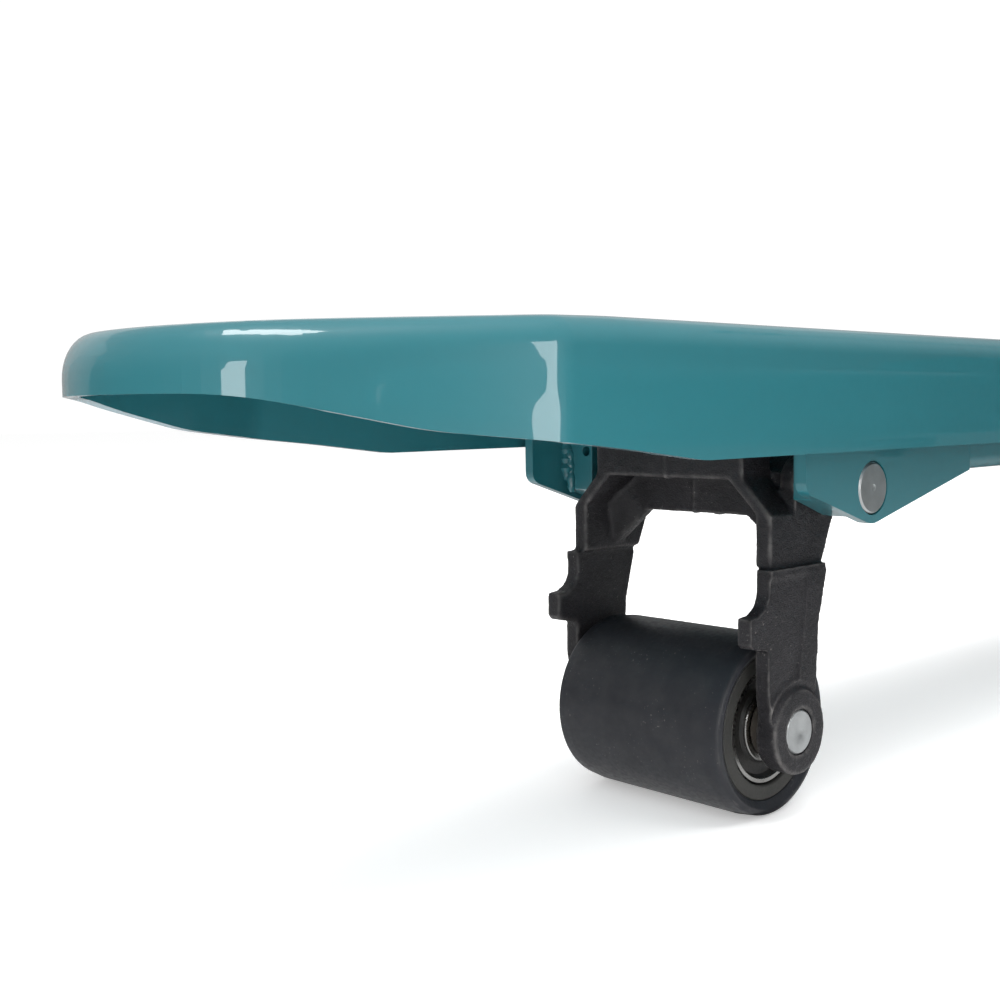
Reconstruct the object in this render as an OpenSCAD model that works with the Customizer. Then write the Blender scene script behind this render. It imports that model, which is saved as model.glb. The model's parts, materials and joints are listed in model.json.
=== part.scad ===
// Hand pallet truck, standing raised. Forks point along -Y, the operator stands at +Y,
// +Z is up and the floor is z = 0. Lengths are in millimetres.

/* [Truck] */
// Length of a fork from its nose to the heel plate
fork_length = 1150; // [950:10:1250]
// Width over both forks
overall_width = 685; // [660:5:720]
// Height of the fork's top when raised
raised_z = 210; // [207:1:214]
// Travel between raised and lowered
lift = 120; // [100:1:125]

/* [Fork shell] */
// Width of one fork
fork_width = 184; // [180:1:200]
// Thickness of the fork's pressed plate
fork_plate = 5; // [4:0.5:6]
// Depth of the side skirts
skirt_depth = 48.8; // [44:0.2:52]
// Radius of the bend along the top edges
edge_bend = 10; // [8:0.5:12]
// Distance from the skirts' lowest corner to the nose
nose_reach = 183; // [175:1:200]
// Distance from the skirts' lowest corner to the plan corner, where the taper starts
taper_start = 70; // [60:1:80]
// Angle of the taper to the fork's length
taper_angle = 22; // [18:1:25]
// Radius of the plan corner
corner_bend = 25; // [15:1:40]
// Fall of the top at the nose
nose_drop = 4.5; // [2:0.5:8]
// Height of the nose's front lip
nose_lip = 19.5; // [15:0.5:24]

/* [Roller bracket] */
// Clearance between a web plate and the skirt beside it
web_inset = 7; // [5:0.5:8]
// Thickness of a web plate
web_plate = 5; // [4:0.5:6]
// Setback of the web's front edge from the skirts' lowest corner
web_front = 79.4; // [76:0.2:84]
// Radius of the web round the pivot pin
web_eye_r = 15.2; // [14:0.2:18]
// Diameter of the pivot pin
pivot_d = 22; // [20:0.5:23]
// Pivot pin's setback from the skirts' lowest corner
pivot_y = 129.8; // [127:0.2:133]
// Pivot pin's height
pivot_z = 144.4; // [142:0.2:147]
// Width of the boss welded inside each web
boss_w = 17; // [12:0.5:17]
// Height of the boss above the pivot
boss_rise = 27; // [22:1:32]
// Height of the rails' underside
rail_z = 148.5; // [146:0.5:152]
// Width of the rails' inward lip
rail_lip = 24; // [15:1:28]

/* [Yoke] */
// Clearance between the yoke and the bosses
side_play = 1.3; // [1:0.1:2]
// Thickness of a leg
leg_t = 8; // [7:0.5:8.5]
// Outward step of a leg below its shoulder
leg_step = 2.4; // [1:0.2:2.6]
// Distance of the axle below the pivot, raised
axle_drop = 104.4; // [100:0.2:106]
// Distance of the axle ahead of the pivot, raised
axle_lead = 24.9; // [22:0.2:28]
// Diameter of the eye round the axle
eye_d = 37; // [34:0.5:40]
// Radius of the yoke's push arm
push_arm = 36; // [32:0.5:37]
// Swing of the yoke over the whole lift
yoke_swing = 85; // [78:0.5:86]

/* [Load roller] */
// Clearance between the load roller and a leg
roller_play = 4.1; // [3.5:0.1:6]
// Diameter of the roller's axle
axle_d = 20; // [18:0.5:22]
// Outer diameter of the roller's ball bearings
roller_bearing_d = 52; // [47:1:56]
// Width of a ball bearing
bearing_w = 15; // [12:0.5:16]
// Outer diameter of the roller's hub
roller_hub_d = 65.4; // [62:1:70]
// Recess of the hub's face in the tread
hub_recess = 2.5; // [1.5:0.5:4]
// Length of the taper at each end of the tread
tread_taper = 9.5; // [6:0.5:11]

/* [Linkage] */
// Diameter of the torsion shaft
shaft_d = 34; // [28:1:36]
// Height of the torsion shaft, raised
shaft_z = 180; // [177:1:181]
// Distance of the torsion shaft ahead of the heel plate
shaft_lead = 64; // [60:1:75]
// Swing of the torsion shaft over the whole lift
shaft_swing = 64; // [58:1:68]
// Diameter of a push rod
rod_d = 17; // [14:0.5:18]
// Diameter of the rods' pins
rod_pin_d = 12; // [10:0.5:13]
// Diameter of the pin in the linking frame
link_pin_d = 20; // [16:0.5:22]
// Thickness of the linking frame's side plates
link_plate = 7; // [5:0.5:8]

/* [Heel] */
// Thickness of the heel plate
heel_plate = 6; // [5:0.5:8]
// Height of the neck's top, raised
neck_z = 404; // [402:1:412]
// Width over the neck's cheeks
neck_w = 104; // [100:1:106]
// Thickness of a cheek
cheek_t = 6; // [5:0.5:7]

/* [Steering unit] */
// Distance from the heel plate's front to the steering axis
steer_back = 225; // [220:1:240]
// Diameter of a steering wheel
wheel_d = 200; // [180:1:200]
// Width of a steering wheel
wheel_w = 50; // [40:1:52]
// Diameter of the steering wheels' axle
wheel_axle_d = 25; // [20:0.5:26]
// Outer diameter of the pump's cylinder
cylinder_d = 76; // [70:1:78]
// Diameter of the ram
ram_d = 35; // [30:0.5:40]
// Diameter of the pump's plunger
plunger_d = 18; // [16:0.5:19]
// Setback of the plunger from the tiller's hinge
plunger_back = 26.5; // [26:0.5:28]

/* [Tiller] */
// Setback of the tiller's hinge from the steering axis
hinge_back = 70; // [69:0.5:74]
// Height of the tiller's hinge
hinge_z = 250; // [248:1:253]
// Diameter of the hinge pin
hinge_pin_d = 15; // [12:0.5:15]
// Lean of the tiller at rest
tiller_lean = 5; // [3:0.5:8]
// Diameter of the tiller's tube
tiller_d = 38; // [32:1:42]
// Distance from the hinge to the loop's top bar
tiller_reach = 956; // [900:1:980]
// Width of the handle's loop between its side bars' centres
loop_w = 170; // [150:1:200]
// Height of the loop between its bars' centres
loop_h = 100; // [95:1:120]
// Diameter of the loop's tube
loop_d = 26; // [22:1:28]

/* [Hidden] */
$fn = 48;
fit = 0.05;                 // radial clearance of a running fit
gap = 0.3;                  // clearance between bodies that pass each other
teal = [0.16, 0.49, 0.53];
cast_black = [0.13, 0.13, 0.14];
steel = [0.72, 0.73, 0.75];
rubber_black = [0.10, 0.11, 0.13];
half_w = fork_width / 2;
fork_x = (overall_width - fork_width) / 2;
skirt_z = raised_z - skirt_depth;
ceiling_z = raised_z - fork_plate;
heel_y = fork_length - nose_reach;
// Plan outline: a nose arc and two tapers that touch it
nose_r = (half_w * cos(taper_angle) - (nose_reach - taper_start) * sin(taper_angle))
    / (1 - sin(taper_angle));
nose_centre = nose_r - nose_reach;
bend_x = half_w - corner_bend;
bend_y = corner_bend * tan(taper_angle / 2) - taper_start;
nose_z = raised_z - nose_drop;
nose_bend = nose_lip - 3.5;
lip_z = nose_z - nose_lip;
// Roller bracket
web_out = half_w - fork_plate - web_inset;
web_in = web_out - web_plate;
boss_in = web_in - boss_w;
web_corner_r = 6;
web_corner_z = pivot_z - 0.9;
rail_start = pivot_y + 86;
rail_t = 4;
rail_bend = 6;
pivot_r = pivot_d / 2;
bush_r = pivot_r + fit + 1;
// Yoke
leg_out = boss_in - side_play;
leg_in = leg_out - leg_t;
low_in = leg_in + leg_step;
low_out = leg_out + leg_step + 0.4;
yoke_front = pivot_y - 41;
beam_front = pivot_y - 20;
shoulder_z = pivot_z - 11;
beam_z = pivot_z + 4.5;
beam_top = pivot_z + 27;
shoulder_run = 14.5;
step_z = pivot_z - 33;
axle_y = pivot_y - axle_lead;
axle_z = pivot_z - axle_drop;
axle_r = axle_d / 2;
eye_r = eye_d / 2;
eye_in = low_in - 0.6;
eye_out = low_out + 1.5;
roller_half = low_in - roller_play;
hub_face = roller_half - hub_recess;
bearing_face = hub_face - 1;
hub_r = 15;
roller_r = axle_z;
push_angle = yoke_swing / 2;
push_y = pivot_y - push_arm * sin(push_angle);
push_z = pivot_z + push_arm * cos(push_angle);
rod_pin_r = rod_pin_d / 2;
rod_eye_r = rod_pin_r + 4.5;
rod_eye_w = 24;
ear_gap = rod_eye_w / 2 + 1.5;
ear_t = 8;
// Torsion shaft and its levers
shaft_y = heel_y - shaft_lead;
shaft_r = shaft_d / 2;
half_swing = shaft_swing / 2;
lug_arm = lift / 2 / sin(half_swing);
lever_arm = push_arm * sin(push_angle) / sin(half_swing);
lever_y = shaft_y - lever_arm * sin(half_swing);
lever_z = shaft_z - lever_arm * cos(half_swing);
front_rise = push_arm * (1 - cos(push_angle));
rear_drop = lever_arm * (1 - cos(half_swing));
front_play = 1.1;
rear_play = 0.7;
link_y = shaft_y + lug_arm * cos(half_swing);
link_z = shaft_z - lug_arm * sin(half_swing);
link_slide = lug_arm * (1 - cos(half_swing));
link_play = 1.7;
link_r = link_pin_d / 2;
lug_eye_r = link_r + 6;
lug_in = 19;
lug_t = 9;
link_in = lug_in + lug_t + 2;
link_out = link_in + link_plate;
// Steering unit, from the floor up
steer_y = heel_y + steer_back;
wheel_r = wheel_d / 2;
cyl_r = cylinder_d / 2;
ram_r = ram_d / 2;
ram_foot = wheel_r + wheel_axle_d / 2 + 10 + lift;
cyl_top = neck_z - lift - 6;
seat_z = wheel_r + 108;
seat_r = cyl_r + 10;
seat_t = 12;
link_seat = seat_z + 4;
link_bar_z = link_seat + 22;
bar_ring_t = 12;
neck_out = neck_w / 2;
cheek_end = 42;
cheek_drop = 68;
wheel_in = cyl_r + 6;
wheel_out = wheel_in + wheel_w;
wheel_axle_r = wheel_axle_d / 2;
hinge_y = steer_y + hinge_back;
pin_r = hinge_pin_d / 2;
lug_r = pin_r + 4.5;
lug_half = 22;
block_top = seat_z - seat_t;
// Tiller cam: the roller rides on the plunger's cap
cam_arm = plunger_back + 3;
cam_angle = 32.5;
cam_y = hinge_y + cam_arm * cos(cam_angle);
cam_z = hinge_z + cam_arm * sin(cam_angle);
cam_r = 11;
plunger_y = hinge_y + plunger_back;
plunger_r = plunger_d / 2;
cap_r = plunger_r + 3;
cap_t = 11;
cap_z = cam_z - cam_r - 0.6;
plate_in = lug_half + 2;
plate_out = plate_in + 7;
tube_r = tiller_d / 2;
loop_r = loop_d / 2;
loop_bend = 35;
head_z = tiller_reach - loop_h;
grip_t = 2.5;
// The origin lies under the middle of the truck's length
rear_y = hinge_y + tiller_reach * sin(tiller_lean) + loop_r + grip_t;
y0 = -(rear_y - nose_reach) / 2;

// ---------- helpers ----------

// Stand a (y, z) outline up and extrude it from x = x0 to x1
module along_x(x0, x1) {
    translate([x0, 0, 0]) rotate([90, 0, 90]) linear_extrude(x1 - x0) children();
}

// Stand an (x, z) outline up and extrude it from y = from to to
module along_y(from, to) {
    translate([0, to, 0]) rotate([90, 0, 0]) linear_extrude(to - from) children();
}

// Round bar along X, centred on (y, z)
module bar_x(x0, x1, y, z, r) {
    translate([x0, y, z]) rotate([0, 90, 0]) cylinder(h = x1 - x0, r = r);
}

// Ring along X
module ring_x(x0, x1, y, z, outer, inner) {
    difference() {
        bar_x(x0, x1, y, z, outer);
        bar_x(x0 - 1, x1 + 1, y, z, inner);
    }
}

// The same part on both sides of X = 0
module both() {
    children();
    mirror([1, 0, 0]) children();
}

// Place a part of the left (-1) or right (1) fork
module at_fork(side) {
    translate([side * fork_x, y0, 0]) children();
}

// Place a part of the truck's middle
module at_truck() {
    translate([0, y0, 0]) children();
}

// Place a part of the tiller: z runs from the hinge along the tube
module at_tiller() {
    translate([0, y0 + hinge_y, hinge_z]) rotate([-tiller_lean, 0, 0]) children();
}

// Touch point on a circle of the line from p that passes it on one side
function touch(p, c, r, side) =
    let (d = c - p, a = atan2(d[1], d[0]) + side * asin(r / norm(d)))
    p + sqrt(norm(d) * norm(d) - r * r) * [cos(a), sin(a)];

// Lever outline: two eyes and the straight flanks that touch both
module lever(c1, r1, c2, r2) {
    d = c2 - c1;
    a = atan2(d[1], d[0]);
    b = acos((r1 - r2) / norm(d));
    translate(c1) circle(r = r1);
    translate(c2) circle(r = r2);
    polygon([
        c1 + r1 * [cos(a + b), sin(a + b)],
        c1 + r1 * [cos(a - b), sin(a - b)],
        c2 + r2 * [cos(a - b), sin(a - b)],
        c2 + r2 * [cos(a + b), sin(a + b)]
    ]);
}

// ---------- fork shell ----------

// Plan outline, drawn in by t
module fork_plan(t, end) {
    side = [cos(taper_angle), -sin(taper_angle)];
    nose = [0, nose_centre] + (nose_r - t) * side;
    bend = [bend_x, bend_y] + (corner_bend - t) * side;
    polygon([
        [t - half_w, end], [t - half_w, bend_y], [-bend[0], bend[1]], [-nose[0], nose[1]],
        nose, bend, [half_w - t, bend_y], [half_w - t, end]
    ]);
    translate([0, nose_centre]) circle(r = nose_r - t, $fn = 96);
    for (s = [-1, 1]) translate([s * bend_x, bend_y]) circle(r = corner_bend - t);
}

// Side outline, drawn in by t; the inner form (t > 0) runs out below
module fork_side(t, end) {
    tip = t - nose_reach;
    low = skirt_z - 2 * t;
    underside = t > 0
        ? [[tip, low], [end, low]]
        : [[tip, lip_z], [18 - nose_reach, lip_z - 0.4], [33 - nose_reach, lip_z - 3.5],
           [73 - nose_reach, skirt_z + 12.5], [-40, skirt_z + 5.1], [0, skirt_z], [end, skirt_z]];
    polygon(concat(underside, [
        [end, raised_z - t], [-40, raised_z - t], [-nose_reach * 0.7, nose_z + nose_drop * 0.45 - t],
        [nose_bend - nose_reach, nose_z - t], [tip, nose_z - nose_bend]
    ]));
    translate([nose_bend - nose_reach, nose_z - nose_bend]) circle(r = nose_bend - t);
}

// Cross-section with rounded top edges, drawn in by t
module fork_section(t) {
    x = half_w - t;
    polygon([
        [-x, lip_z - 60], [x, lip_z - 60], [x, raised_z - edge_bend], [half_w - edge_bend, raised_z - t],
        [edge_bend - half_w, raised_z - t], [-x, raised_z - edge_bend]
    ]);
    for (s = [-1, 1])
        translate([s * (half_w - edge_bend), raised_z - edge_bend]) circle(r = edge_bend - t);
}

module fork_form(t, end) {
    intersection() {
        linear_extrude(raised_z + 10) fork_plan(t, end);
        along_x(-half_w - 1, half_w + 1) fork_side(t, end);
        along_y(-nose_reach - 1, end + 1) fork_section(t);
    }
}

module fork(side) {
    color(teal) at_fork(side) difference() {
        fork_form(0, heel_y);
        fork_form(fork_plate, heel_y + 1);
        // Clearance hole for the torsion shaft in the inner skirt
        bar_x(side > 0 ? -half_w - 1 : web_out, side > 0 ? -web_out : half_w + 1,
            shaft_y, shaft_z, shaft_r + 1.5);
    }
}

// ---------- rails and roller bracket ----------

module rail_section() {
    translate([web_in, rail_z + rail_bend]) square([web_plate, ceiling_z - rail_z - rail_bend]);
    translate([web_out - rail_lip, rail_z]) square([rail_lip - rail_bend, rail_t]);
    intersection() {
        translate([web_out - rail_bend, rail_z + rail_bend]) difference() {
            circle(r = rail_bend);
            circle(r = rail_bend - rail_t);
        }
        translate([web_out - rail_bend, rail_z]) square(rail_bend);
    }
    translate([web_in, rail_z + rail_bend]) square([web_plate - rail_t + 0.01, 2]);
}

module rails(side) {
    color(teal) at_fork(side) difference() {
        both() along_y(rail_start, heel_y) rail_section();
        // Seat of the torsion shaft's bush in the inner rail
        bar_x(side > 0 ? -web_out - 1 : web_in - 1, side > 0 ? -web_in + 1 : web_out + 1,
            shaft_y, shaft_z, shaft_r + 3);
    }
}

module web_outline() {
    pin = [pivot_y, pivot_z];
    corner = [web_front + 4, web_corner_z];
    front_touch = touch(corner, pin, web_eye_r, -1);
    slope = atan2(corner[1] - front_touch[1], front_touch[0] - corner[0]);
    down = [-sin(slope), -cos(slope)];
    round_c = corner - web_corner_r * down;
    rear = [rail_start, rail_z];
    polygon([
        [web_front, ceiling_z], [web_front, round_c[1]], round_c + [0, 0], corner, front_touch, pin,
        touch(rear, pin, web_eye_r, 1), rear, [rail_start, ceiling_z]
    ]);
    translate(pin) circle(r = web_eye_r);
    translate([web_front + web_corner_r, round_c[1]]) circle(r = web_corner_r);
}

module web_plates(side) {
    color(teal) at_fork(side) both() difference() {
        along_x(web_in, web_out) web_outline();
        bar_x(web_in - 1, web_out + 1, pivot_y, pivot_z, pivot_r + 0.6);
    }
}

module pin_bosses(side) {
    r = web_eye_r - 2.2;
    front = pivot_y - 26.3;
    color(teal) at_fork(side) both() difference() {
        along_x(boss_in, web_in) {
            translate([pivot_y, pivot_z]) circle(r = r);
            polygon([
                [front, pivot_z + boss_rise], [front, pivot_z - 4.4],
                touch([front, pivot_z - 4.4], [pivot_y, pivot_z], r, -1), [pivot_y, pivot_z],
                [pivot_y + r, pivot_z], [pivot_y + r, pivot_z + boss_rise]
            ]);
        }
        bar_x(boss_in - 1, web_in + 1, pivot_y, pivot_z, pivot_r + fit);
        // Small blind hole in the front face
        translate([boss_in + 4, front - 1, pivot_z + 14.6]) rotate([-90, 0, 0]) cylinder(h = 9, r = 2.4);
    }
}

module pivot_pin(side) {
    color(steel) at_fork(side) {
        bar_x(-web_out - gap, web_out + gap, pivot_y, pivot_z, pivot_r);
    }
}

// ---------- yoke ----------

// Front arch seen along Y: shoulders slope from the legs to the crossbeam
module front_arch() {
    in_x = leg_in - shoulder_run;
    polygon([
        [leg_out, step_z], [leg_out, shoulder_z], [leg_out - shoulder_run, beam_z],
        [leg_out - shoulder_run, beam_top], [-leg_out + shoulder_run, beam_top],
        [-leg_out + shoulder_run, beam_z], [-leg_out, shoulder_z], [-leg_out, step_z],
        [-leg_in, step_z], [-leg_in, shoulder_z + 0.5], [-in_x, beam_z - 0.5],
        [in_x, beam_z - 0.5], [leg_in, shoulder_z + 0.5], [leg_in, step_z]
    ]);
}

// Rear arch: the hub beam between the legs
rear_low = pivot_z - 13;
rear_top = pivot_z + 7;
module rear_arch() {
    run = 5;
    polygon([
        [leg_out, step_z], [leg_out, rear_top], [-leg_out, rear_top], [-leg_out, step_z],
        [-leg_in, step_z], [-leg_in, rear_low - run], [run - leg_in, rear_low],
        [leg_in - run, rear_low], [leg_in, rear_low - run], [leg_in, step_z]
    ]);
}

// Side outline of the upper leg and the cheek round the pivot
module cheek_outline() {
    front = beam_front - 3;
    translate([pivot_y, pivot_z]) circle(r = hub_r);
    polygon([
        [yoke_front, step_z], [pivot_y - 2.1, step_z], [pivot_y + 5.6, pivot_z - 15.5],
        [pivot_y + 13.5, pivot_z - 4], [pivot_y, pivot_z + 14.2], [front + 8, pivot_z + 14.2],
        [front + 2.5, pivot_z + 10.5], [front, pivot_z + 4], [front, shoulder_z], [yoke_front, shoulder_z]
    ]);
}

// Side outline of the lower leg with its front hook
module leg_outline() {
    front = axle_y - eye_r;
    hook_z = axle_z + 39.5;
    translate([axle_y, axle_z]) circle(r = eye_r);
    polygon([
        [front - 1.5, axle_z + 20], [front + 0.6, axle_z + 4], [axle_y, axle_z],
        [axle_y + eye_r * cos(40), axle_z + eye_r * sin(40)], [pivot_y - 8.4, step_z - 25.5],
        [pivot_y - 2.4, step_z - 3.5], [pivot_y - 3.6, step_z], [front - 0.6, step_z],
        [front - 0.8, hook_z + 21.4], [front - 3.2, hook_z + 16.4], [front - 8, hook_z + 13.6],
        [front - 14, hook_z + 13], [front - 14, hook_z + 1.5], [front - 12, hook_z],
        [front - 1.5, hook_z - 2]
    ]);
}

module yoke(side) {
    color(cast_black) at_fork(side) difference() {
        union() {
            both() along_x(leg_in, leg_out) cheek_outline();
            both() along_x(low_in, low_out) leg_outline();
            both() along_x(eye_in, eye_out) translate([axle_y, axle_z]) circle(r = eye_r);
            along_y(yoke_front, beam_front) front_arch();
            intersection() {
                along_y(beam_front, pivot_y + hub_r) rear_arch();
                along_x(-leg_out, leg_out) rear_profile();
            }
            bar_x(-leg_out, leg_out, pivot_y, pivot_z, hub_r);
            both() along_x(ear_gap, ear_gap + ear_t)
                lever([pivot_y, pivot_z], hub_r - 1, [push_y, push_z], rod_eye_r);
        }
        bar_x(-leg_out - 1, leg_out + 1, pivot_y, pivot_z, bush_r + fit);
        bar_x(-ear_gap - ear_t - 1, ear_gap + ear_t + 1, push_y, push_z, rod_pin_r + fit);
        bar_x(-eye_out - 1, eye_out + 1, axle_y, axle_z, axle_r + fit);
        // Pocket for the push rod's eye, open at the top of the crossbeam
        translate([-ear_gap, yoke_front - 1, push_z - rod_eye_r - 0.6]) cube([2 * ear_gap, 60, 60]);
        // Lower floor behind it, which the eye dips into as the yoke swings
        translate([-ear_gap, yoke_front + 8.2, pivot_z + 8.4]) cube([2 * ear_gap, 16, 60]);
    }
}

// Side limits of the rear beam
module rear_profile() {
    polygon([
        [beam_front, step_z], [pivot_y - 2.1, step_z], [pivot_y + 5.6, pivot_z - 15.5],
        [pivot_y + 13, pivot_z - 5], [pivot_y, rear_top], [beam_front, rear_top]
    ]);
}

module yoke_bushes(side) {
    color([0.70, 0.52, 0.26]) at_fork(side) both()
        ring_x(leg_out - 25, leg_out, pivot_y, pivot_z, bush_r, pivot_r + fit);
}

module push_pin(side) {
    half = ear_gap + ear_t;
    color(steel) at_fork(side) bar_x(-half, half, push_y, push_z, rod_pin_r);
}

// ---------- load roller ----------

module roller_axle(side) {
    half = eye_out - 0.6;
    color(steel) at_fork(side) bar_x(-half, half, axle_y, axle_z, axle_r);
}

// Spin a (radius, x) outline round the roller's axle
module roller_turned() {
    translate([0, axle_y, axle_z]) rotate([0, 90, 0]) rotate_extrude($fn = 96) children();
}

module roller_tread(side) {
    hub = roller_hub_d / 2 + fit;
    flat = roller_half - tread_taper;
    color(rubber_black) at_fork(side) roller_turned() polygon([
        [hub, hub_face], [hub, -hub_face], [roller_r - 3.6, -roller_half],
        [roller_r - 1.8, 0.5 - roller_half], [roller_r - 1, 1.6 - roller_half],
        [roller_r, -flat], [roller_r, flat], [roller_r - 1, roller_half - 1.6],
        [roller_r - 1.8, roller_half - 0.5], [roller_r - 3.6, roller_half]
    ]);
}

module roller_hub(side) {
    seat = roller_bearing_d / 2 + fit;
    color([0.24, 0.24, 0.25]) at_fork(side) roller_turned() difference() {
        translate([seat - 4, -hub_face]) square([roller_hub_d / 2 - seat + 4, 2 * hub_face]);
        for (s = [-1, 1])
            translate([seat - 5, s > 0 ? bearing_face - bearing_w : -hub_face - 1])
                square([5, hub_face - bearing_face + bearing_w + 1]);
    }
}

module roller_bearings(side) {
    color(steel) at_fork(side) both()
        ring_x(bearing_face - bearing_w, bearing_face, axle_y, axle_z, roller_bearing_d / 2, axle_r + fit);
}

module axle_spacers(side) {
    color(cast_black) at_fork(side) both()
        ring_x(bearing_face + gap, eye_in, axle_y, axle_z, axle_r + 3, axle_r + fit);
}

// ---------- torsion shaft and push rods ----------

module torsion_shaft() {
    half = fork_x + ear_gap + ear_t;
    color(cast_black) at_truck() difference() {
        union() {
            bar_x(-half, half, shaft_y, shaft_z, shaft_r);
            both() along_x(lug_in, lug_in + lug_t)
                lever([shaft_y, shaft_z], shaft_r + 5, [link_y, link_z], lug_eye_r);
            for (s = [-1, 1]) translate([s * fork_x, 0, 0]) both() along_x(ear_gap, ear_gap + ear_t)
                lever([shaft_y, shaft_z], shaft_r + 5, [lever_y, lever_z], rod_eye_r);
        }
        bar_x(-lug_in - lug_t - 1, lug_in + lug_t + 1, link_y, link_z, link_r + fit);
        bar_x(-half - 1, half + 1, lever_y, lever_z, rod_pin_r + fit);
    }
}

module link_pin() {
    color(steel) at_truck() bar_x(-link_out - 2, link_out + 2, link_y, link_z, link_r);
}

module lever_pins() {
    half = ear_gap + ear_t;
    color(steel) at_truck() for (s = [-1, 1])
        bar_x(s * fork_x - half, s * fork_x + half, lever_y, lever_z, rod_pin_r);
}

module torsion_bushes() {
    x0 = fork_x - web_out - 1;
    color([0.70, 0.52, 0.26]) at_truck() both()
        ring_x(x0, x0 + web_plate + 2, shaft_y, shaft_z, shaft_r + 3 - 2 * fit, shaft_r + fit);
}

module push_rod(side) {
    half = rod_eye_w / 2;
    fall = atan2(push_z - lever_z, lever_y - push_y);
    reach = norm([push_z - lever_z, lever_y - push_y]);
    color([0.30, 0.31, 0.33]) at_fork(side) difference() {
        union() {
            along_x(-half, half) {
                lever([push_y, push_z], rod_eye_r, [push_y, push_z + front_rise], rod_eye_r);
                lever([lever_y, lever_z], rod_eye_r, [lever_y, lever_z - rear_drop], rod_eye_r);
            }
            translate([0, push_y, push_z]) rotate([-90 - fall, 0, 0])
                translate([0, 0, 3]) cylinder(h = reach - 6, r = rod_d / 2);
        }
        // Slots: the pins rise at the front and drop at the back in mid-stroke
        front = rod_pin_r + front_play;
        rear = rod_pin_r + rear_play;
        along_x(-half - 1, half + 1) {
            lever([push_y, push_z], front, [push_y, push_z + front_rise], front);
            lever([lever_y, lever_z], rear, [lever_y, lever_z - rear_drop], rear);
        }
    }
}

// ---------- heel ----------

module heel_outline() {
    side_x = overall_width / 2;
    wing = 0.585 * side_x;
    root = 0.38 * side_x;
    crown = neck_out + 48;
    polygon([
        [side_x, skirt_z], [side_x, raised_z + 10], [side_x - 10, raised_z + 20], [wing, raised_z + 52],
        [root, raised_z + 110], [crown, neck_z - 10], [crown - 12, neck_z + 22],
        [12 - crown, neck_z + 22], [-crown, neck_z - 10], [-root, raised_z + 110], [-wing, raised_z + 52],
        [10 - side_x, raised_z + 20], [-side_x, raised_z + 10], [-side_x, skirt_z],
        [-neck_out, skirt_z], [-neck_out + cheek_t, shaft_z + 50], [-neck_out + 20, shaft_z + 66],
        [neck_out - 20, shaft_z + 66], [neck_out - cheek_t, shaft_z + 50], [neck_out, skirt_z]
    ]);
}

module cheek_side() {
    back = steer_y - cheek_end;
    front = heel_y + heel_plate;
    polygon([
        [front, skirt_z + 4], [front + 50, skirt_z + 4], [front + 66, skirt_z + 30],
        [front + 70, neck_z - cheek_drop - 34], [front + 80, neck_z - cheek_drop - 10],
        [front + 104, neck_z - cheek_drop], [back, neck_z - cheek_drop + 20], [back, neck_z],
        [front, neck_z]
    ]);
}

module heel_frame() {
    color(teal) at_truck() difference() {
        union() {
            along_y(heel_y, heel_y + heel_plate) heel_outline();
            both() along_x(neck_out - cheek_t, neck_out) cheek_side();
            translate([-neck_out, heel_y + heel_plate, neck_z])
                cube([2 * neck_out, steer_back - heel_plate - 20, 10]);
            translate([0, steer_y, neck_z]) cylinder(h = 10, r = neck_out - 2);
            translate([0, steer_y, neck_z]) cylinder(h = 22, r = 32);
        }
        translate([0, steer_y, neck_z - 1]) cylinder(h = 24, r = 10);
    }
}

module ram() {
    color(steel) at_truck() translate([0, steer_y, 0]) {
        translate([0, 0, ram_foot]) cylinder(h = neck_z - ram_foot, r = ram_r);
        translate([0, 0, neck_z]) cylinder(h = 22, r = 10 - fit);
    }
}

// ---------- linking frame ----------

module link_side_outline() {
    tail = steer_y - cyl_r + 13;
    front = link_y - link_r - 6;
    back = link_y + link_slide + link_r + 6;
    polygon([
        [front, link_z - link_r - 9], [back, link_z - link_r - 9], [back, link_seat - 18],
        [back + 18, link_seat], [tail, link_seat], [tail, link_seat + bar_ring_t],
        [tail - 26, link_bar_z], [front + 10, link_bar_z], [front, link_bar_z - 10]
    ]);
}

module linking_frame() {
    tie_y = link_y - link_r - 6;
    color(cast_black) at_truck() difference() {
        union() {
            both() along_x(link_in, link_out) link_side_outline();
            translate([0, steer_y, link_seat]) cylinder(h = bar_ring_t, r = seat_r - 1);
            translate([-link_in, tie_y + 1, link_bar_z - 17]) cube([2 * link_in, 7, 17]);
        }
        translate([0, steer_y, link_seat - 1]) cylinder(h = bar_ring_t + 2, r = cyl_r + gap);
        // Slot that lets the link pin slide along its arc
        along_x(-link_out - 1, link_out + 1)
            lever([link_y, link_z], link_r + link_play, [link_y + link_slide, link_z], link_r + link_play);
    }
}

module thrust_washer() {
    color([0.70, 0.52, 0.26]) at_truck() translate([0, steer_y, seat_z + gap]) difference() {
        cylinder(h = link_seat - seat_z - gap, r = seat_r - 1);
        translate([0, 0, -1]) cylinder(h = 10, r = cyl_r + gap);
    }
}

// ---------- pump and steering wheels ----------

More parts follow.
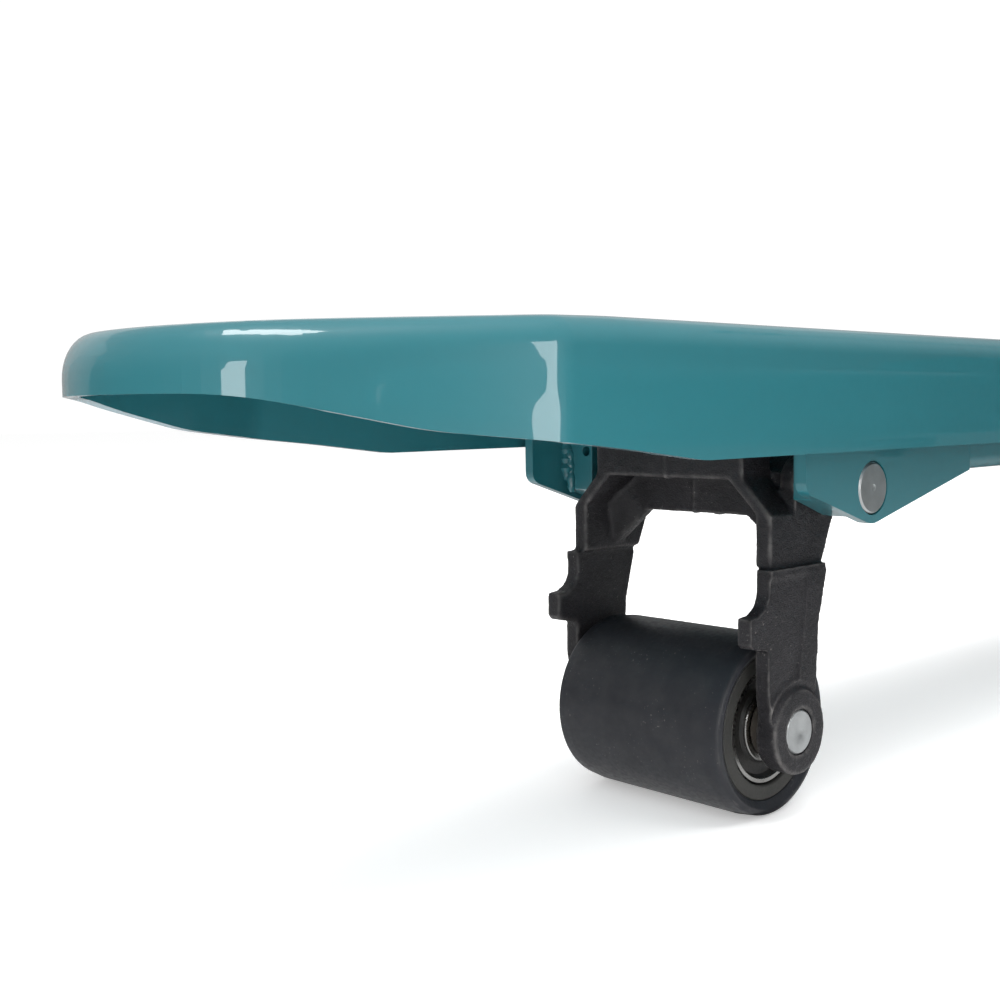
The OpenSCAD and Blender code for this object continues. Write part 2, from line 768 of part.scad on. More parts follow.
module pump_body() {
    block_back = plunger_y - steer_y + plunger_r + 12;
    color(cast_black) at_truck() translate([0, steer_y, 0]) difference() {
        union() {
            translate([0, 0, wheel_r - 24]) cylinder(h = cyl_top - wheel_r + 16, r = cyl_r);
            // Seat flange above the wheels, on a narrower collar between them
            translate([0, 0, block_top]) cylinder(h = seat_t, r = wheel_in - 2);
            translate([0, 0, 2 * wheel_r + 2]) cylinder(h = seat_z - 2 * wheel_r - 2, r = seat_r);
            // Axle housing and the oil tank behind the cylinder
            bar_x(-cyl_r - 2, cyl_r + 2, 0, wheel_r, 24);
            translate([-34, 0, wheel_r]) cube([68, block_back - 14, block_top - wheel_r]);
            for (s = [-1, 1]) translate([s * 20, block_back - 14, wheel_r])
                cylinder(h = block_top - wheel_r, r = 14);
            translate([-20, block_back - 28, wheel_r]) cube([40, 28, block_top - wheel_r]);
            // Lug that carries the tiller's hinge
            along_x(-lug_half, lug_half) {
                translate([hinge_back, hinge_z]) circle(r = lug_r);
                translate([0, hinge_z - lug_r]) square([hinge_back, 2 * lug_r]);
            }
        }
        translate([0, 0, ram_foot - lift - 1]) cylinder(h = 300, r = ram_r + fit);
        translate([0, plunger_y - steer_y, wheel_r + 35]) cylinder(h = 200, r = plunger_r + fit);
        bar_x(-cyl_r - 3, cyl_r + 3, 0, wheel_r, wheel_axle_r + fit);
        bar_x(-lug_half - 1, lug_half + 1, hinge_back, hinge_z, pin_r + fit);
        translate([24, 52, block_top - 12]) cylinder(h = 20, r = 5 + fit);
        bar_x(-60, -20, 62, wheel_r + 40, 5 + fit);
    }
}

module ram_gland() {
    z = cyl_top - 8;
    color([0.55, 0.56, 0.58]) at_truck() translate([0, steer_y, z]) difference() {
        cylinder(h = 8, r = cyl_r - 6);
        translate([0, 0, -1]) cylinder(h = 10, r = ram_r + fit);
    }
}

module filler_plug() {
    color(steel) at_truck() translate([24, steer_y + 52, block_top]) {
        translate([0, 0, -11]) cylinder(h = 11, r = 5);
        cylinder(h = 5, r = 8, $fn = 6);
    }
}

module steer_axle() {
    color(steel) at_truck()
        bar_x(-wheel_out - 9, wheel_out + 9, steer_y, wheel_r, wheel_axle_r);
}

module axle_washers() {
    color([0.55, 0.56, 0.58]) at_truck() both() {
        ring_x(cyl_r + 2, wheel_in - gap, steer_y, wheel_r, wheel_axle_r + 6, wheel_axle_r + fit);
        ring_x(wheel_out + gap, wheel_out + 4, steer_y, wheel_r, wheel_axle_r + 6, wheel_axle_r + fit);
    }
}

// Valve lever on the tank's left side, with its spindle in the casting
module valve_lever() {
    y = steer_y + 62;
    z = wheel_r + 40;
    color(steel) at_truck() {
        bar_x(-42, -21, y, z, 5);
        along_x(-42, -36) lever([y, z], 9, [y + 40, z + 4], 6);
    }
}

module wheel_turned() {
    translate([0, y0 + steer_y, wheel_r]) rotate([0, 90, 0]) rotate_extrude($fn = 96) children();
}

module wheel_tread(side) {
    rim = wheel_r - 18;
    mid = side * (wheel_in + wheel_w / 2);
    color(rubber_black) translate([mid, 0, 0]) wheel_turned() {
        translate([rim + fit, -wheel_w / 2]) square([12, wheel_w]);
        translate([rim + 11, 6 - wheel_w / 2]) square([wheel_r - rim - 11, wheel_w - 12]);
        for (s = [-1, 1]) translate([wheel_r - 6, s * (wheel_w / 2 - 6)]) circle(r = 6);
    }
}

module wheel_hub(side) {
    rim = wheel_r - 18;
    seat = wheel_axle_r + 13.5 + fit;
    half = wheel_w / 2 - 2;
    mid = side * (wheel_in + wheel_w / 2);
    color([0.66, 0.67, 0.69]) translate([mid, 0, 0]) wheel_turned() difference() {
        union() {
            translate([rim - 8, -half]) square([8, 2 * half]);
            translate([seat - 3, -5]) square([rim - seat - 4, 10]);
            translate([seat - 3, -half]) square([11, 2 * half]);
        }
        for (s = [-1, 1]) translate([seat - 4, s > 0 ? half - bearing_w : -half]) square([4, bearing_w]);
    }
}

module wheel_bearings(side) {
    half = wheel_w / 2 - 2;
    mid = wheel_in + wheel_w / 2;
    color(steel) at_truck() translate([side * mid, 0, 0]) both()
        ring_x(half - bearing_w, half, steer_y, wheel_r, wheel_axle_r + 13.5, wheel_axle_r + fit);
}

// ---------- pump plunger ----------

module plunger() {
    foot = wheel_r + 68;
    color(steel) at_truck() translate([0, plunger_y, 0]) {
        translate([0, 0, foot]) cylinder(h = cap_z - foot, r = plunger_r);
        translate([0, 0, cap_z - cap_t]) cylinder(h = cap_t, r = cap_r);
    }
}

// Wire of a coil spring, swept along its helix
spring_turns = 4.5;
spring_wire = 1.5;
spring_steps = 72;
spring_sides = 8;
spring_r = plunger_r + spring_wire + 0.8;
spring_low = block_top + spring_wire + gap;
spring_high = cap_z - cap_t - spring_wire - gap;

function spring_ring(i) =
    let (a = 360 * spring_turns * i / spring_steps,
        z = spring_low + (spring_high - spring_low) * i / spring_steps)
    [for (k = [0 : spring_sides - 1])
        let (b = 360 * k / spring_sides, r = spring_r + spring_wire * cos(b))
        [r * cos(a), r * sin(a), z + spring_wire * sin(b)]];

module plunger_spring() {
    n = spring_sides;
    points = [for (i = [0 : spring_steps]) each spring_ring(i)];
    flanks = [for (i = [0 : spring_steps - 1], k = [0 : n - 1])
        each let (a = i * n + k, b = i * n + (k + 1) % n) [[a, a + n, b], [b, a + n, b + n]]];
    ends = [[for (k = [0 : n - 1]) k], [for (k = [n - 1 : -1 : 0]) spring_steps * n + k]];
    color([0.35, 0.36, 0.38]) at_truck() translate([0, plunger_y, 0])
        polyhedron(points = points, faces = concat(flanks, ends));
}

// ---------- tiller ----------

module tiller_tube() {
    neck = 62;
    foot = [hinge_y + (neck - 4) * sin(tiller_lean), hinge_z + (neck - 4) * cos(tiller_lean)];
    color(cast_black) {
        at_tiller() difference() {
            union() {
                translate([0, 0, neck + 12]) cylinder(h = head_z - neck - 32, r = tube_r);
                translate([-plate_out - 1, -tube_r - 2, neck]) cube([2 * plate_out + 2, 2 * tube_r + 4, 16]);
            }
            translate([0, 0, neck + 14.5]) cylinder(h = head_z, r = tube_r - 3);
            translate([0, -pull_arm, neck - 1]) cylinder(h = 20, r = pull_r + fit);
        }
        at_truck() difference() {
            both() along_x(plate_in, plate_out) {
                lever([hinge_y, hinge_z], lug_r + 2, foot, tube_r - 2);
                lever([hinge_y, hinge_z], lug_r + 1, [cam_y, cam_z], 9);
            }
            bar_x(-plate_out - 1, plate_out + 1, hinge_y, hinge_z, pin_r + fit);
            bar_x(-plate_out - 1, plate_out + 1, cam_y, cam_z, 5 + fit);
        }
    }
}

module tiller_hinge_pin() {
    color(steel) at_truck() bar_x(-plate_out - 3, plate_out + 3, hinge_y, hinge_z, pin_r);
}

module cam_roller() {
    color(steel) at_truck() {
        bar_x(-plate_out - 2, plate_out + 2, cam_y, cam_z, 5);
        bar_x(-plate_in + 3, plate_in - 3, cam_y, cam_z, cam_r);
    }
}

module handle_body() {
    half = 24;
    color(cast_black) at_tiller() difference() {
        union() {
            translate([-half, -18, head_z - 20]) cube([2 * half, 36, 38]);
            translate([0, 0, head_z - 60]) cylinder(h = 42, r = tube_r + 4);
            // Ears of the release lever's pivot
            both() translate([18, -8, head_z + 17]) cube([6, 16, 14]);
        }
        translate([0, 0, head_z - 61]) cylinder(h = 41 + gap, r = tube_r + fit);
        translate([0, -pull_arm, head_z - 30]) cylinder(h = 60, r = pull_r + fit);
        bar_x(-half - 1, half + 1, 0, head_z, loop_r + fit);
        bar_x(-half - 1, half + 1, 0, lever_pivot, 3 + fit);
    }
}

// Closed loop of round bar in the tiller's plane, of bar radius r
module loop_bar(r) {
    x = loop_w / 2 - loop_bend;
    z0 = head_z + loop_bend;
    z1 = tiller_reach - loop_bend;
    for (z = [head_z, tiller_reach]) bar_x(-x, x, 0, z, r);
    for (s = [-1, 1]) translate([s * loop_w / 2, 0, z0]) cylinder(h = z1 - z0, r = r);
    for (s = [-1, 1], top = [false, true])
        translate([s * x, 0, top ? z1 : z0]) rotate([90, s > 0 ? (top ? 0 : 90) : (top ? 270 : 180), 0])
            rotate_extrude(angle = 90) translate([loop_bend, 0]) circle(r = r, $fn = 32);
}

module handle_loop() {
    color(cast_black) at_tiller() difference() {
        loop_bar(loop_r);
        translate([0, -pull_arm, head_z - 20]) cylinder(h = 40, r = pull_r + fit);
    }
}

module handle_grip() {
    color(rubber_black) at_tiller() difference() {
        loop_bar(loop_r + grip_t);
        loop_bar(loop_r + fit);
        translate([-loop_w, -50, head_z - 60]) cube([2 * loop_w, 100, 60 + loop_bend]);
    }
}

lever_pivot = head_z + 25;
pull_arm = 7;
pull_r = 3;
module release_lever() {
    color([0.16, 0.49, 0.53]) at_tiller() {
        bar_x(-23.5, 23.5, 0, lever_pivot, 3);
        bar_x(-17.5, 17.5, 0, lever_pivot, 6);
        along_x(-14, 14) lever([0, lever_pivot], 5.5, [0, lever_pivot + 38], 3);
        // Heel that presses the pull rod down
        along_x(-5, 5) lever([0, lever_pivot], 5, [-pull_arm, lever_pivot], 3);
    }
}

module pull_rod() {
    foot = 70;
    color(steel) at_tiller()
        translate([0, -pull_arm, foot]) cylinder(h = lever_pivot - 5.8 - gap - foot, r = pull_r);
}

// ---------- assembly ----------

fork(-1);  // left_fork
fork(1);  // right_fork
rails(-1);  // left_fork_rails
rails(1);  // right_fork_rails
web_plates(-1);  // left_web_plates
web_plates(1);  // right_web_plates
pin_bosses(-1);  // left_pin_bosses
pin_bosses(1);  // right_pin_bosses
pivot_pin(-1);  // left_pivot_pin
pivot_pin(1);  // right_pivot_pin
heel_frame();
torsion_bushes();
ram();
yoke(-1);  // left_yoke
yoke(1);  // right_yoke
yoke_bushes(-1);  // left_yoke_bushes
yoke_bushes(1);  // right_yoke_bushes
roller_axle(-1);  // left_roller_axle
roller_axle(1);  // right_roller_axle
axle_spacers(-1);  // left_axle_spacers
axle_spacers(1);  // right_axle_spacers
push_pin(-1);  // left_push_pin
push_pin(1);  // right_push_pin
roller_tread(-1);  // left_roller_tread
roller_tread(1);  // right_roller_tread
roller_hub(-1);  // left_roller_hub
roller_hub(1);  // right_roller_hub
roller_bearings(-1);  // left_roller_bearings
roller_bearings(1);  // right_roller_bearings
torsion_shaft();
link_pin();
lever_pins();
push_rod(-1);  // left_push_rod
push_rod(1);  // right_push_rod
linking_frame();
thrust_washer();
pump_body();
ram_gland();
filler_plug();
steer_axle();
axle_washers();
valve_lever();
plunger();
plunger_spring();
wheel_tread(-1);  // left_wheel_tread
wheel_tread(1);  // right_wheel_tread
wheel_hub(-1);  // left_wheel_hub
wheel_hub(1);  // right_wheel_hub
wheel_bearings(-1);  // left_wheel_bearings
wheel_bearings(1);  // right_wheel_bearings
tiller_tube();
tiller_hinge_pin();
cam_roller();
handle_body();
handle_loop();
handle_grip();
release_lever();
pull_rod();
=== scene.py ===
"""Dresses a hand pallet truck, raised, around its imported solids.

The forks point along -Y, the operator stands at +Y, +Z is up and lengths are in metres.
"""

import json
import logging
import math
from dataclasses import dataclass, field
from enum import Enum
from typing import Callable, ClassVar, Sequence

import bmesh
import bpy
from mathutils import Matrix, Vector, noise

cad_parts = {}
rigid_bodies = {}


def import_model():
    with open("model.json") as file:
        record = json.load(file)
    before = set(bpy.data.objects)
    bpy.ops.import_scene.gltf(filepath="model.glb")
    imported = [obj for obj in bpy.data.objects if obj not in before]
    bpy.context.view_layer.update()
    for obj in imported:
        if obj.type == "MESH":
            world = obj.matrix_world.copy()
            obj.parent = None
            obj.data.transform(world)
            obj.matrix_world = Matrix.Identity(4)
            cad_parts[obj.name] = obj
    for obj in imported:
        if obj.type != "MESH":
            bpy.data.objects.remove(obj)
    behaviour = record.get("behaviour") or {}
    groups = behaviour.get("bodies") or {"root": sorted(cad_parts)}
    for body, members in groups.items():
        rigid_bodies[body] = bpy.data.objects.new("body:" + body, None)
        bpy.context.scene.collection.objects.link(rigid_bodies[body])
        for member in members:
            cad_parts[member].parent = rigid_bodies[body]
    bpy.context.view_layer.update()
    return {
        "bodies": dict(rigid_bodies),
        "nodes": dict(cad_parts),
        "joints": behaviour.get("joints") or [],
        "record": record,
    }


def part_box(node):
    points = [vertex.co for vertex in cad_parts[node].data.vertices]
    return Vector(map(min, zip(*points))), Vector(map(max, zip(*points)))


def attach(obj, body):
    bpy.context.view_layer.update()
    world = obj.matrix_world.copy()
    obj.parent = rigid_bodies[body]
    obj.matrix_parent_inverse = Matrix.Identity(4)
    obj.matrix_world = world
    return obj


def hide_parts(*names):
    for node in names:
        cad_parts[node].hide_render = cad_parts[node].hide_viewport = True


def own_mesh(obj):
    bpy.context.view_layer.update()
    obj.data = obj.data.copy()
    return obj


log = logging.getLogger("pallet_truck")

Point = tuple[float, float, float]
Colour = tuple[float, float, float]

TINY = 0.000002
SLICE = 0.00001
CLOSE = 0.00002
HAIR = 0.0001
WHITE = (1.0, 1.0, 1.0)


class Side(Enum):
    """The two sides of the truck, seen from behind the tiller towards the forks' heel."""

    LEFT = "left"
    RIGHT = "right"


class Grain(Enum):
    """How a finish breaks up its surface."""

    SMOOTH = "smooth"
    ORANGE_PEEL = "orange_peel"
    CAST = "cast"
    SCUFFED = "scuffed"
    MOULDED = "moulded"


# ---------- materials ----------


class Nodes:
    """A small helper that adds and links shader nodes."""

    def __init__(self, owner: bpy.types.Material | bpy.types.World) -> None:
        """Start an empty node tree.

        Args:
            owner: The material or world.
        """
        owner.use_nodes = True
        self.tree = owner.node_tree
        self.tree.nodes.clear()
        self.places = self.add("ShaderNodeTexCoord").outputs

    def add(self, kind: str, **settings: object) -> bpy.types.Node:
        """Add a node and set its properties.

        Args:
            kind: The node's Blender type.
            **settings: Properties to set on the node.

        Returns:
            The new node.
        """
        node = self.tree.nodes.new(kind)
        for key, value in settings.items():
            setattr(node, key, value)
        return node

    def link(self, source: bpy.types.NodeSocket, target: bpy.types.NodeSocket) -> None:
        """Link an output socket to an input socket."""
        self.tree.links.new(source, target)

    def feed(self, value: bpy.types.NodeSocket | float | Colour, target: bpy.types.NodeSocket) -> None:
        """Link a socket to an input socket, or set a number or a colour on it.

        Args:
            value: The output socket, the number, or linear red, green and blue.
            target: The input socket.
        """
        if isinstance(value, bpy.types.NodeSocket):
            self.link(value, target)
        else:
            target.default_value = (*value, 1.0) if isinstance(value, tuple) else value

    def surface(self, kind: str, output: str) -> bpy.types.bpy_prop_collection:
        """Add the closing shader of a tree.

        Args:
            kind: The shader's Blender type.
            output: The output node's Blender type.

        Returns:
            The shader's input sockets.
        """
        shader = self.add(kind)
        self.link(shader.outputs[0], self.add(output).inputs["Surface"])
        return shader.inputs

    def noise(self, scale: float, detail: float = 4.0, stretch: Point = (1, 1, 1)) -> bpy.types.NodeSocket:
        """Add a noise texture on object coordinates.

        Args:
            scale: Cells per metre.
            detail: Octaves of detail.
            stretch: Factors on the coordinates, for streaks.

        Returns:
            The noise's factor, from 0 to 1.
        """
        node = self.add("ShaderNodeTexNoise")
        node.inputs["Scale"].default_value = scale
        node.inputs["Detail"].default_value = detail
        coords = self.places["Object"]
        if stretch != (1, 1, 1):
            mapping = self.add("ShaderNodeMapping")
            mapping.inputs["Scale"].default_value = stretch
            self.link(coords, mapping.inputs["Vector"])
            coords = mapping.outputs["Vector"]
        self.link(coords, node.inputs["Vector"])
        return node.outputs["Fac"]

    def ramp(self, source: bpy.types.NodeSocket, low: float, high: float,
             bottom: float = 0.0, top: float = 1.0) -> bpy.types.NodeSocket:
        """Map a value's range onto another one, clamped.

        Args:
            source: The value.
            low: Where the range starts.
            high: Where the range ends.
            bottom: Result at the start.
            top: Result at the end.

        Returns:
            The mapped value.
        """
        node = self.add("ShaderNodeMapRange", clamp=True)
        self.link(source, node.inputs["Value"])
        for key, value in zip(("From Min", "From Max", "To Min", "To Max"), (low, high, bottom, top)):
            node.inputs[key].default_value = value
        return node.outputs["Result"]

    def mix(self, factor: bpy.types.NodeSocket, first: bpy.types.NodeSocket | Colour,
            second: Colour | float) -> bpy.types.NodeSocket:
        """Mix two colours or two numbers.

        Args:
            factor: 0 gives the first and 1 the second.
            first: The first colour or number.
            second: The second colour or number.

        Returns:
            The mixed colour or number.
        """
        node = self.add("ShaderNodeMix", data_type="RGBA" if isinstance(second, tuple) else "FLOAT")
        for key, value in (("Factor", factor), ("A", first), ("B", second)):
            self.feed(value, node.inputs[key])
        return node.outputs["Result"]

    def math(self, operation: str, *values: bpy.types.NodeSocket | float) -> bpy.types.NodeSocket:
        """Add a maths node.

        Args:
            operation: Blender's name of the operation.
            *values: Sockets or numbers, in order.

        Returns:
            The result.
        """
        node = self.add("ShaderNodeMath", operation=operation)
        for socket, value in zip(node.inputs, values):
            self.feed(value, socket)
        return node.outputs["Value"]

    def bump(self, height: bpy.types.NodeSocket, strength: float, distance: float,
             under: bpy.types.NodeSocket | None = None) -> bpy.types.NodeSocket:
        """Add a bump node.

        Args:
            height: The height, from 0 to 1.
            strength: Share of the bump that shows.
            distance: Height in metres that 1 stands for.
            under: A bump that this one lies on.

        Returns:
            The bent normal.
        """
        node = self.add("ShaderNodeBump")
        node.inputs["Strength"].default_value = strength
        node.inputs["Distance"].default_value = distance
        self.link(height, node.inputs["Height"])
        if under is not None:
            self.link(under, node.inputs["Normal"])
        return node.outputs["Normal"]


@dataclass(frozen=True)
class Finish:
    """A surface finish: its colour, gloss and grain.

    Colours are linear, and lengths are in metres.
    """

    name: str
    colour: Colour
    tint: Colour
    roughness: float
    metallic: float = 0.0
    coat: float = 0.0
    coat_roughness: float = 0.05
    specular: float = 0.5
    grain: Grain = Grain.SMOOTH
    scale: float = 300.0
    depth: float = 0.0001
    spread: float = 0.06
    # How much convex edges are lightened, as wear and as a painted edge highlight.
    wear_and_edge_highlight: float = 0.0

    def material(self) -> bpy.types.Material:
        """Build the finish as a node material.

        Returns:
            The material.
        """
        material = bpy.data.materials.new(self.name)
        nodes = Nodes(material)
        inputs = nodes.surface("ShaderNodeBsdfPrincipled", "ShaderNodeOutputMaterial")
        for key, value in {"Metallic": self.metallic, "Coat Weight": self.coat,
                           "Coat Roughness": self.coat_roughness,
                           "Specular IOR Level": self.specular}.items():
            inputs[key].default_value = value
        mottle = nodes.noise(self.scale * 0.06, 5.0)
        fine = nodes.noise(self.scale, 4.0)
        colour = nodes.mix(nodes.ramp(mottle, 0.35, 0.7), self.colour, self.tint)
        nodes.link(self._wear_and_edge_highlight(nodes, colour) if self.wear_and_edge_highlight else colour, inputs["Base Color"])
        nodes.link(nodes.ramp(fine, 0.3, 0.7, self.roughness - self.spread, self.roughness + self.spread),
                   inputs["Roughness"])
        builder: dict[Grain, Callable[[Nodes], bpy.types.NodeSocket]] = {
            Grain.SMOOTH: self._smooth,
            Grain.ORANGE_PEEL: self._orange_peel,
            Grain.CAST: self._cast,
            Grain.SCUFFED: self._scuffed,
            Grain.MOULDED: self._moulded,
        }
        nodes.link(builder[self.grain](nodes), inputs["Normal"])
        return material

    def _wear_and_edge_highlight(self, nodes: Nodes, colour: bpy.types.NodeSocket) -> bpy.types.NodeSocket:
        """Lighten convex edges, partly as rubbed wear and partly as a painted highlight where an edge catches
        the light, and scatter fine light specks.

        Args:
            nodes: The material's nodes.
            colour: The colour without wear or painted edge highlight.

        Returns:
            The colour with wear and the painted edge highlight.
        """
        # Pointiness lightens convex edges: rubbed wear, and also a painted highlight where an edge catches
        # the light.
        edge = nodes.ramp(nodes.add("ShaderNodeNewGeometry").outputs["Pointiness"], 0.507, 0.565)
        patchy = nodes.math("MULTIPLY", edge, nodes.ramp(nodes.noise(140.0, 5.0), 0.38, 0.68, 0.15))
        specks = nodes.ramp(nodes.noise(900.0, 1.0), 0.68, 0.76)
        rubbed = nodes.ramp(nodes.noise(60.0, 3.0), 0.45, 0.62)
        share = nodes.math("MAXIMUM", patchy, nodes.math("MULTIPLY", specks, rubbed))
        return nodes.mix(share, colour, (self.wear_and_edge_highlight * 1.06, self.wear_and_edge_highlight, self.wear_and_edge_highlight * 0.97))

    def _smooth(self, nodes: Nodes) -> bpy.types.NodeSocket:
        """Give a faint unevenness."""
        return nodes.bump(nodes.noise(self.scale, 3.0), 0.2, self.depth)

    def _orange_peel(self, nodes: Nodes) -> bpy.types.NodeSocket:
        """Give the soft ripple of stoved paint, with a slow wave of the pressed plate under it."""
        wave = nodes.bump(nodes.noise(11.0, 1.0), 0.10, 0.0004)
        return nodes.bump(nodes.noise(self.scale, 1.0), 0.25, self.depth, wave)

    def _cast(self, nodes: Nodes) -> bpy.types.NodeSocket:
        """Give the pitted skin of a sand casting."""
        coarse = nodes.bump(nodes.noise(self.scale * 0.35, 3.0), 0.6, self.depth * 1.6)
        return nodes.bump(nodes.noise(self.scale * 1.6, 6.0), 0.7, self.depth, coarse)

    def _scuffed(self, nodes: Nodes) -> bpy.types.NodeSocket:
        """Give short scuffs along X and a soft grain."""
        streak = nodes.noise(self.scale, 5.0, (0.12, 1.0, 1.0))
        return nodes.bump(nodes.ramp(streak, 0.45, 0.75), 0.3, self.depth)

    def _moulded(self, nodes: Nodes) -> bpy.types.NodeSocket:
        """Give the fine leather-like grain of a moulding.

        Args:
            nodes: The material's nodes.

        Returns:
            The bent normal.
        """
        cells = nodes.add("ShaderNodeTexVoronoi")
        cells.inputs["Scale"].default_value = self.scale * 3.0
        nodes.link(nodes.places["Object"], cells.inputs["Vector"])
        return nodes.bump(cells.outputs["Distance"], 0.35, self.depth)


TEAL = Finish("teal_stove_paint", (0.0145, 0.118, 0.140), (0.0155, 0.123, 0.146), 0.38, coat=1.0,
              coat_roughness=0.02, specular=0.35, grain=Grain.ORANGE_PEEL, scale=260.0, depth=0.00002,
              spread=0.02)
# Pale teal on the plate's cut edges and their small roundings: a painted highlight.
TEAL_EDGE_HIGHLIGHT = Finish("teal_painted_edge_highlight", (0.26, 0.40, 0.45), (0.20, 0.34, 0.39), 0.30, coat=1.0,
                   scale=260.0, depth=0.00002, spread=0.02)
CAST_BLACK = Finish("black_casting", (0.0108, 0.0102, 0.0122), (0.0180, 0.0168, 0.0195), 0.46, specular=0.40,
                    grain=Grain.CAST, scale=900.0, depth=0.00050, spread=0.14, wear_and_edge_highlight=0.12)
PUMP_CASTING = Finish("pump_casting", (0.015, 0.015, 0.016), (0.023, 0.023, 0.024), 0.48, specular=0.4,
                      grain=Grain.CAST, scale=500.0, depth=0.00012, spread=0.08)
BLACK_PAINT = Finish("black_paint", (0.012, 0.012, 0.013), (0.018, 0.018, 0.020), 0.34, coat=0.5,
                     coat_roughness=0.12, grain=Grain.ORANGE_PEEL, scale=300.0, depth=0.00003)
BRIGHT_STEEL = Finish("bright_steel", (0.58, 0.59, 0.60), (0.48, 0.49, 0.50), 0.32, metallic=1.0,
                      scale=900.0, depth=0.00003)
PIN_END = Finish("turned_pin", (0.62, 0.64, 0.645), (0.48, 0.495, 0.50), 0.42, metallic=1.0,
                 grain=Grain.CAST, scale=1400.0, depth=0.00006)
DARK_STEEL = Finish("dark_steel", (0.16, 0.165, 0.17), (0.11, 0.11, 0.12), 0.42, metallic=0.9,
                    scale=500.0, depth=0.00006)
CHROME = Finish("hard_chrome", (0.75, 0.76, 0.78), (0.70, 0.71, 0.73), 0.08, metallic=1.0, spread=0.03,
                scale=300.0, depth=0.00002)
BRONZE = Finish("sintered_bronze", (0.42, 0.26, 0.10), (0.34, 0.20, 0.08), 0.45, metallic=1.0,
                grain=Grain.CAST, scale=2200.0, depth=0.00008)
# The tread's lightened edges are partly a painted highlight where its edge catches the light, besides wear.
ROLLER = Finish("roller_tyre", (0.0165, 0.0178, 0.0222), (0.0215, 0.0230, 0.0282), 0.42, specular=0.34,
                grain=Grain.SCUFFED, scale=500.0, depth=0.00006, spread=0.08, wear_and_edge_highlight=0.09)
HUB_GREY = Finish("hub_casting", (0.030, 0.030, 0.028), (0.042, 0.041, 0.037), 0.62,
                  grain=Grain.CAST, scale=700.0, depth=0.00012)
SHIELD = Finish("bearing_shield", (0.006, 0.006, 0.006), (0.016, 0.015, 0.013), 0.50,
                grain=Grain.CAST, scale=1500.0, depth=0.00006, spread=0.12)
RACE = Finish("bearing_race", (0.50, 0.50, 0.485), (0.26, 0.255, 0.245), 0.30, metallic=1.0,
              scale=700.0, depth=0.00003)
SPACER = Finish("spacer_steel", (0.12, 0.105, 0.09), (0.07, 0.062, 0.055), 0.50, metallic=0.7,
                grain=Grain.CAST, scale=900.0, depth=0.00006)
TYRE = Finish("wheel_tyre", (0.013, 0.013, 0.014), (0.022, 0.022, 0.023), 0.50,
              grain=Grain.SCUFFED, scale=300.0, depth=0.00015, spread=0.10)
WHEEL_CAST = Finish("wheel_casting", (0.36, 0.37, 0.38), (0.30, 0.31, 0.32), 0.48, metallic=0.85,
                    grain=Grain.CAST, scale=800.0, depth=0.00015)
GRIP = Finish("grip_rubber", (0.010, 0.010, 0.011), (0.014, 0.014, 0.015), 0.62,
              grain=Grain.MOULDED, scale=500.0, depth=0.00010)
LEVER = Finish("lever_plastic", (0.022, 0.160, 0.180), (0.026, 0.175, 0.195), 0.35,
               grain=Grain.MOULDED, scale=400.0, depth=0.00004)


class Palette:
    """The truck's finishes, each built once."""

    def __init__(self) -> None:
        """Start with no material built."""
        self._built: dict[str, bpy.types.Material] = {}

    def __call__(self, finish: Finish) -> bpy.types.Material:
        """Return a finish's material.

        Args:
            finish: The finish.

        Returns:
            Its material.
        """
        if finish.name not in self._built:
            self._built[finish.name] = finish.material()
        return self._built[finish.name]


# ---------- meshes ----------


def to_object(name: str, mesh: bmesh.types.BMesh, material: bpy.types.Material,
              sharp: float = 35.0) -> bpy.types.Object:
    """Turn a bmesh into a piece with smooth faces and sharp edges.

    Args:
        name: The piece's name.
        mesh: The mesh, which is freed.
        material: The piece's material.
        sharp: Angle in degrees over which an edge stays sharp.

    Returns:
        The new piece.
    """
    for face in mesh.faces:
        face.smooth = True
    limit = math.radians(sharp)
    for edge in mesh.edges:
        edge.smooth = not (edge.is_manifold and edge.calc_face_angle(0.0) > limit)
    data = bpy.data.meshes.new(name)
    mesh.to_mesh(data)
    mesh.free()
    data.materials.append(material)
    piece = bpy.data.objects.new(name, data)
    bpy.context.scene.collection.objects.link(piece)
    return piece


def solid_copy(node: bpy.types.Object) -> bmesh.types.BMesh:
    """Copy a CAD node's mesh with its triangles joined into whole faces.

    Args:
        node: The CAD node.

    Returns:
        The merged mesh.
    """
    mesh = bmesh.new()
    mesh.from_mesh(node.data)
    bmesh.ops.remove_doubles(mesh, verts=mesh.verts, dist=SLICE)
    bmesh.ops.dissolve_limit(mesh, angle_limit=math.radians(0.6), use_dissolve_boundaries=False,
                             verts=mesh.verts, edges=mesh.edges, delimit=set())
    return mesh


def soften(piece: bpy.types.Object, width: float, segments: int = 2, angle: float = 28.0) -> None:
    """Round a piece's sharp edges.

    Args:
        piece: The piece.
        width: Width of the rounding.
        segments: Faces across the rounding.
        angle: Angle in degrees over which an edge is rounded.
    """
    bevel = piece.modifiers.new("edges", "BEVEL")
    bevel.width = width
    bevel.segments = segments
    bevel.limit_method = "ANGLE"
    bevel.angle_limit = math.radians(angle)
    bevel.use_clamp_overlap = True
    normals = piece.modifiers.new("normals", "WEIGHTED_NORMAL")
    normals.keep_sharp = True
    normals.weight = 80


def bake(piece: bpy.types.Object) -> None:
    """Apply a piece's modifiers to its mesh.

    Args:
        piece: The piece.
    """
    bpy.context.view_layer.update()
    shaped = piece.evaluated_get(bpy.context.evaluated_depsgraph_get())
    data = bpy.data.meshes.new_from_object(shaped)
    piece.modifiers.clear()
    old, piece.data = piece.data, data
    bpy.data.meshes.remove(old)


def along(points: Sequence[tuple[float, float]], place: float) -> float:
    """Read a broken line's height at a place.

    Args:
        points: Places and heights, in order.
        place: Where to read it.

    Returns:
        The height there.
    """
    for (start, first), (end, last) in zip(points, points[1:]):
        if place <= end:
            share = max(0.0, (place - start) / (end - start))
            return first + share * (last - first)
    return points[-1][1]


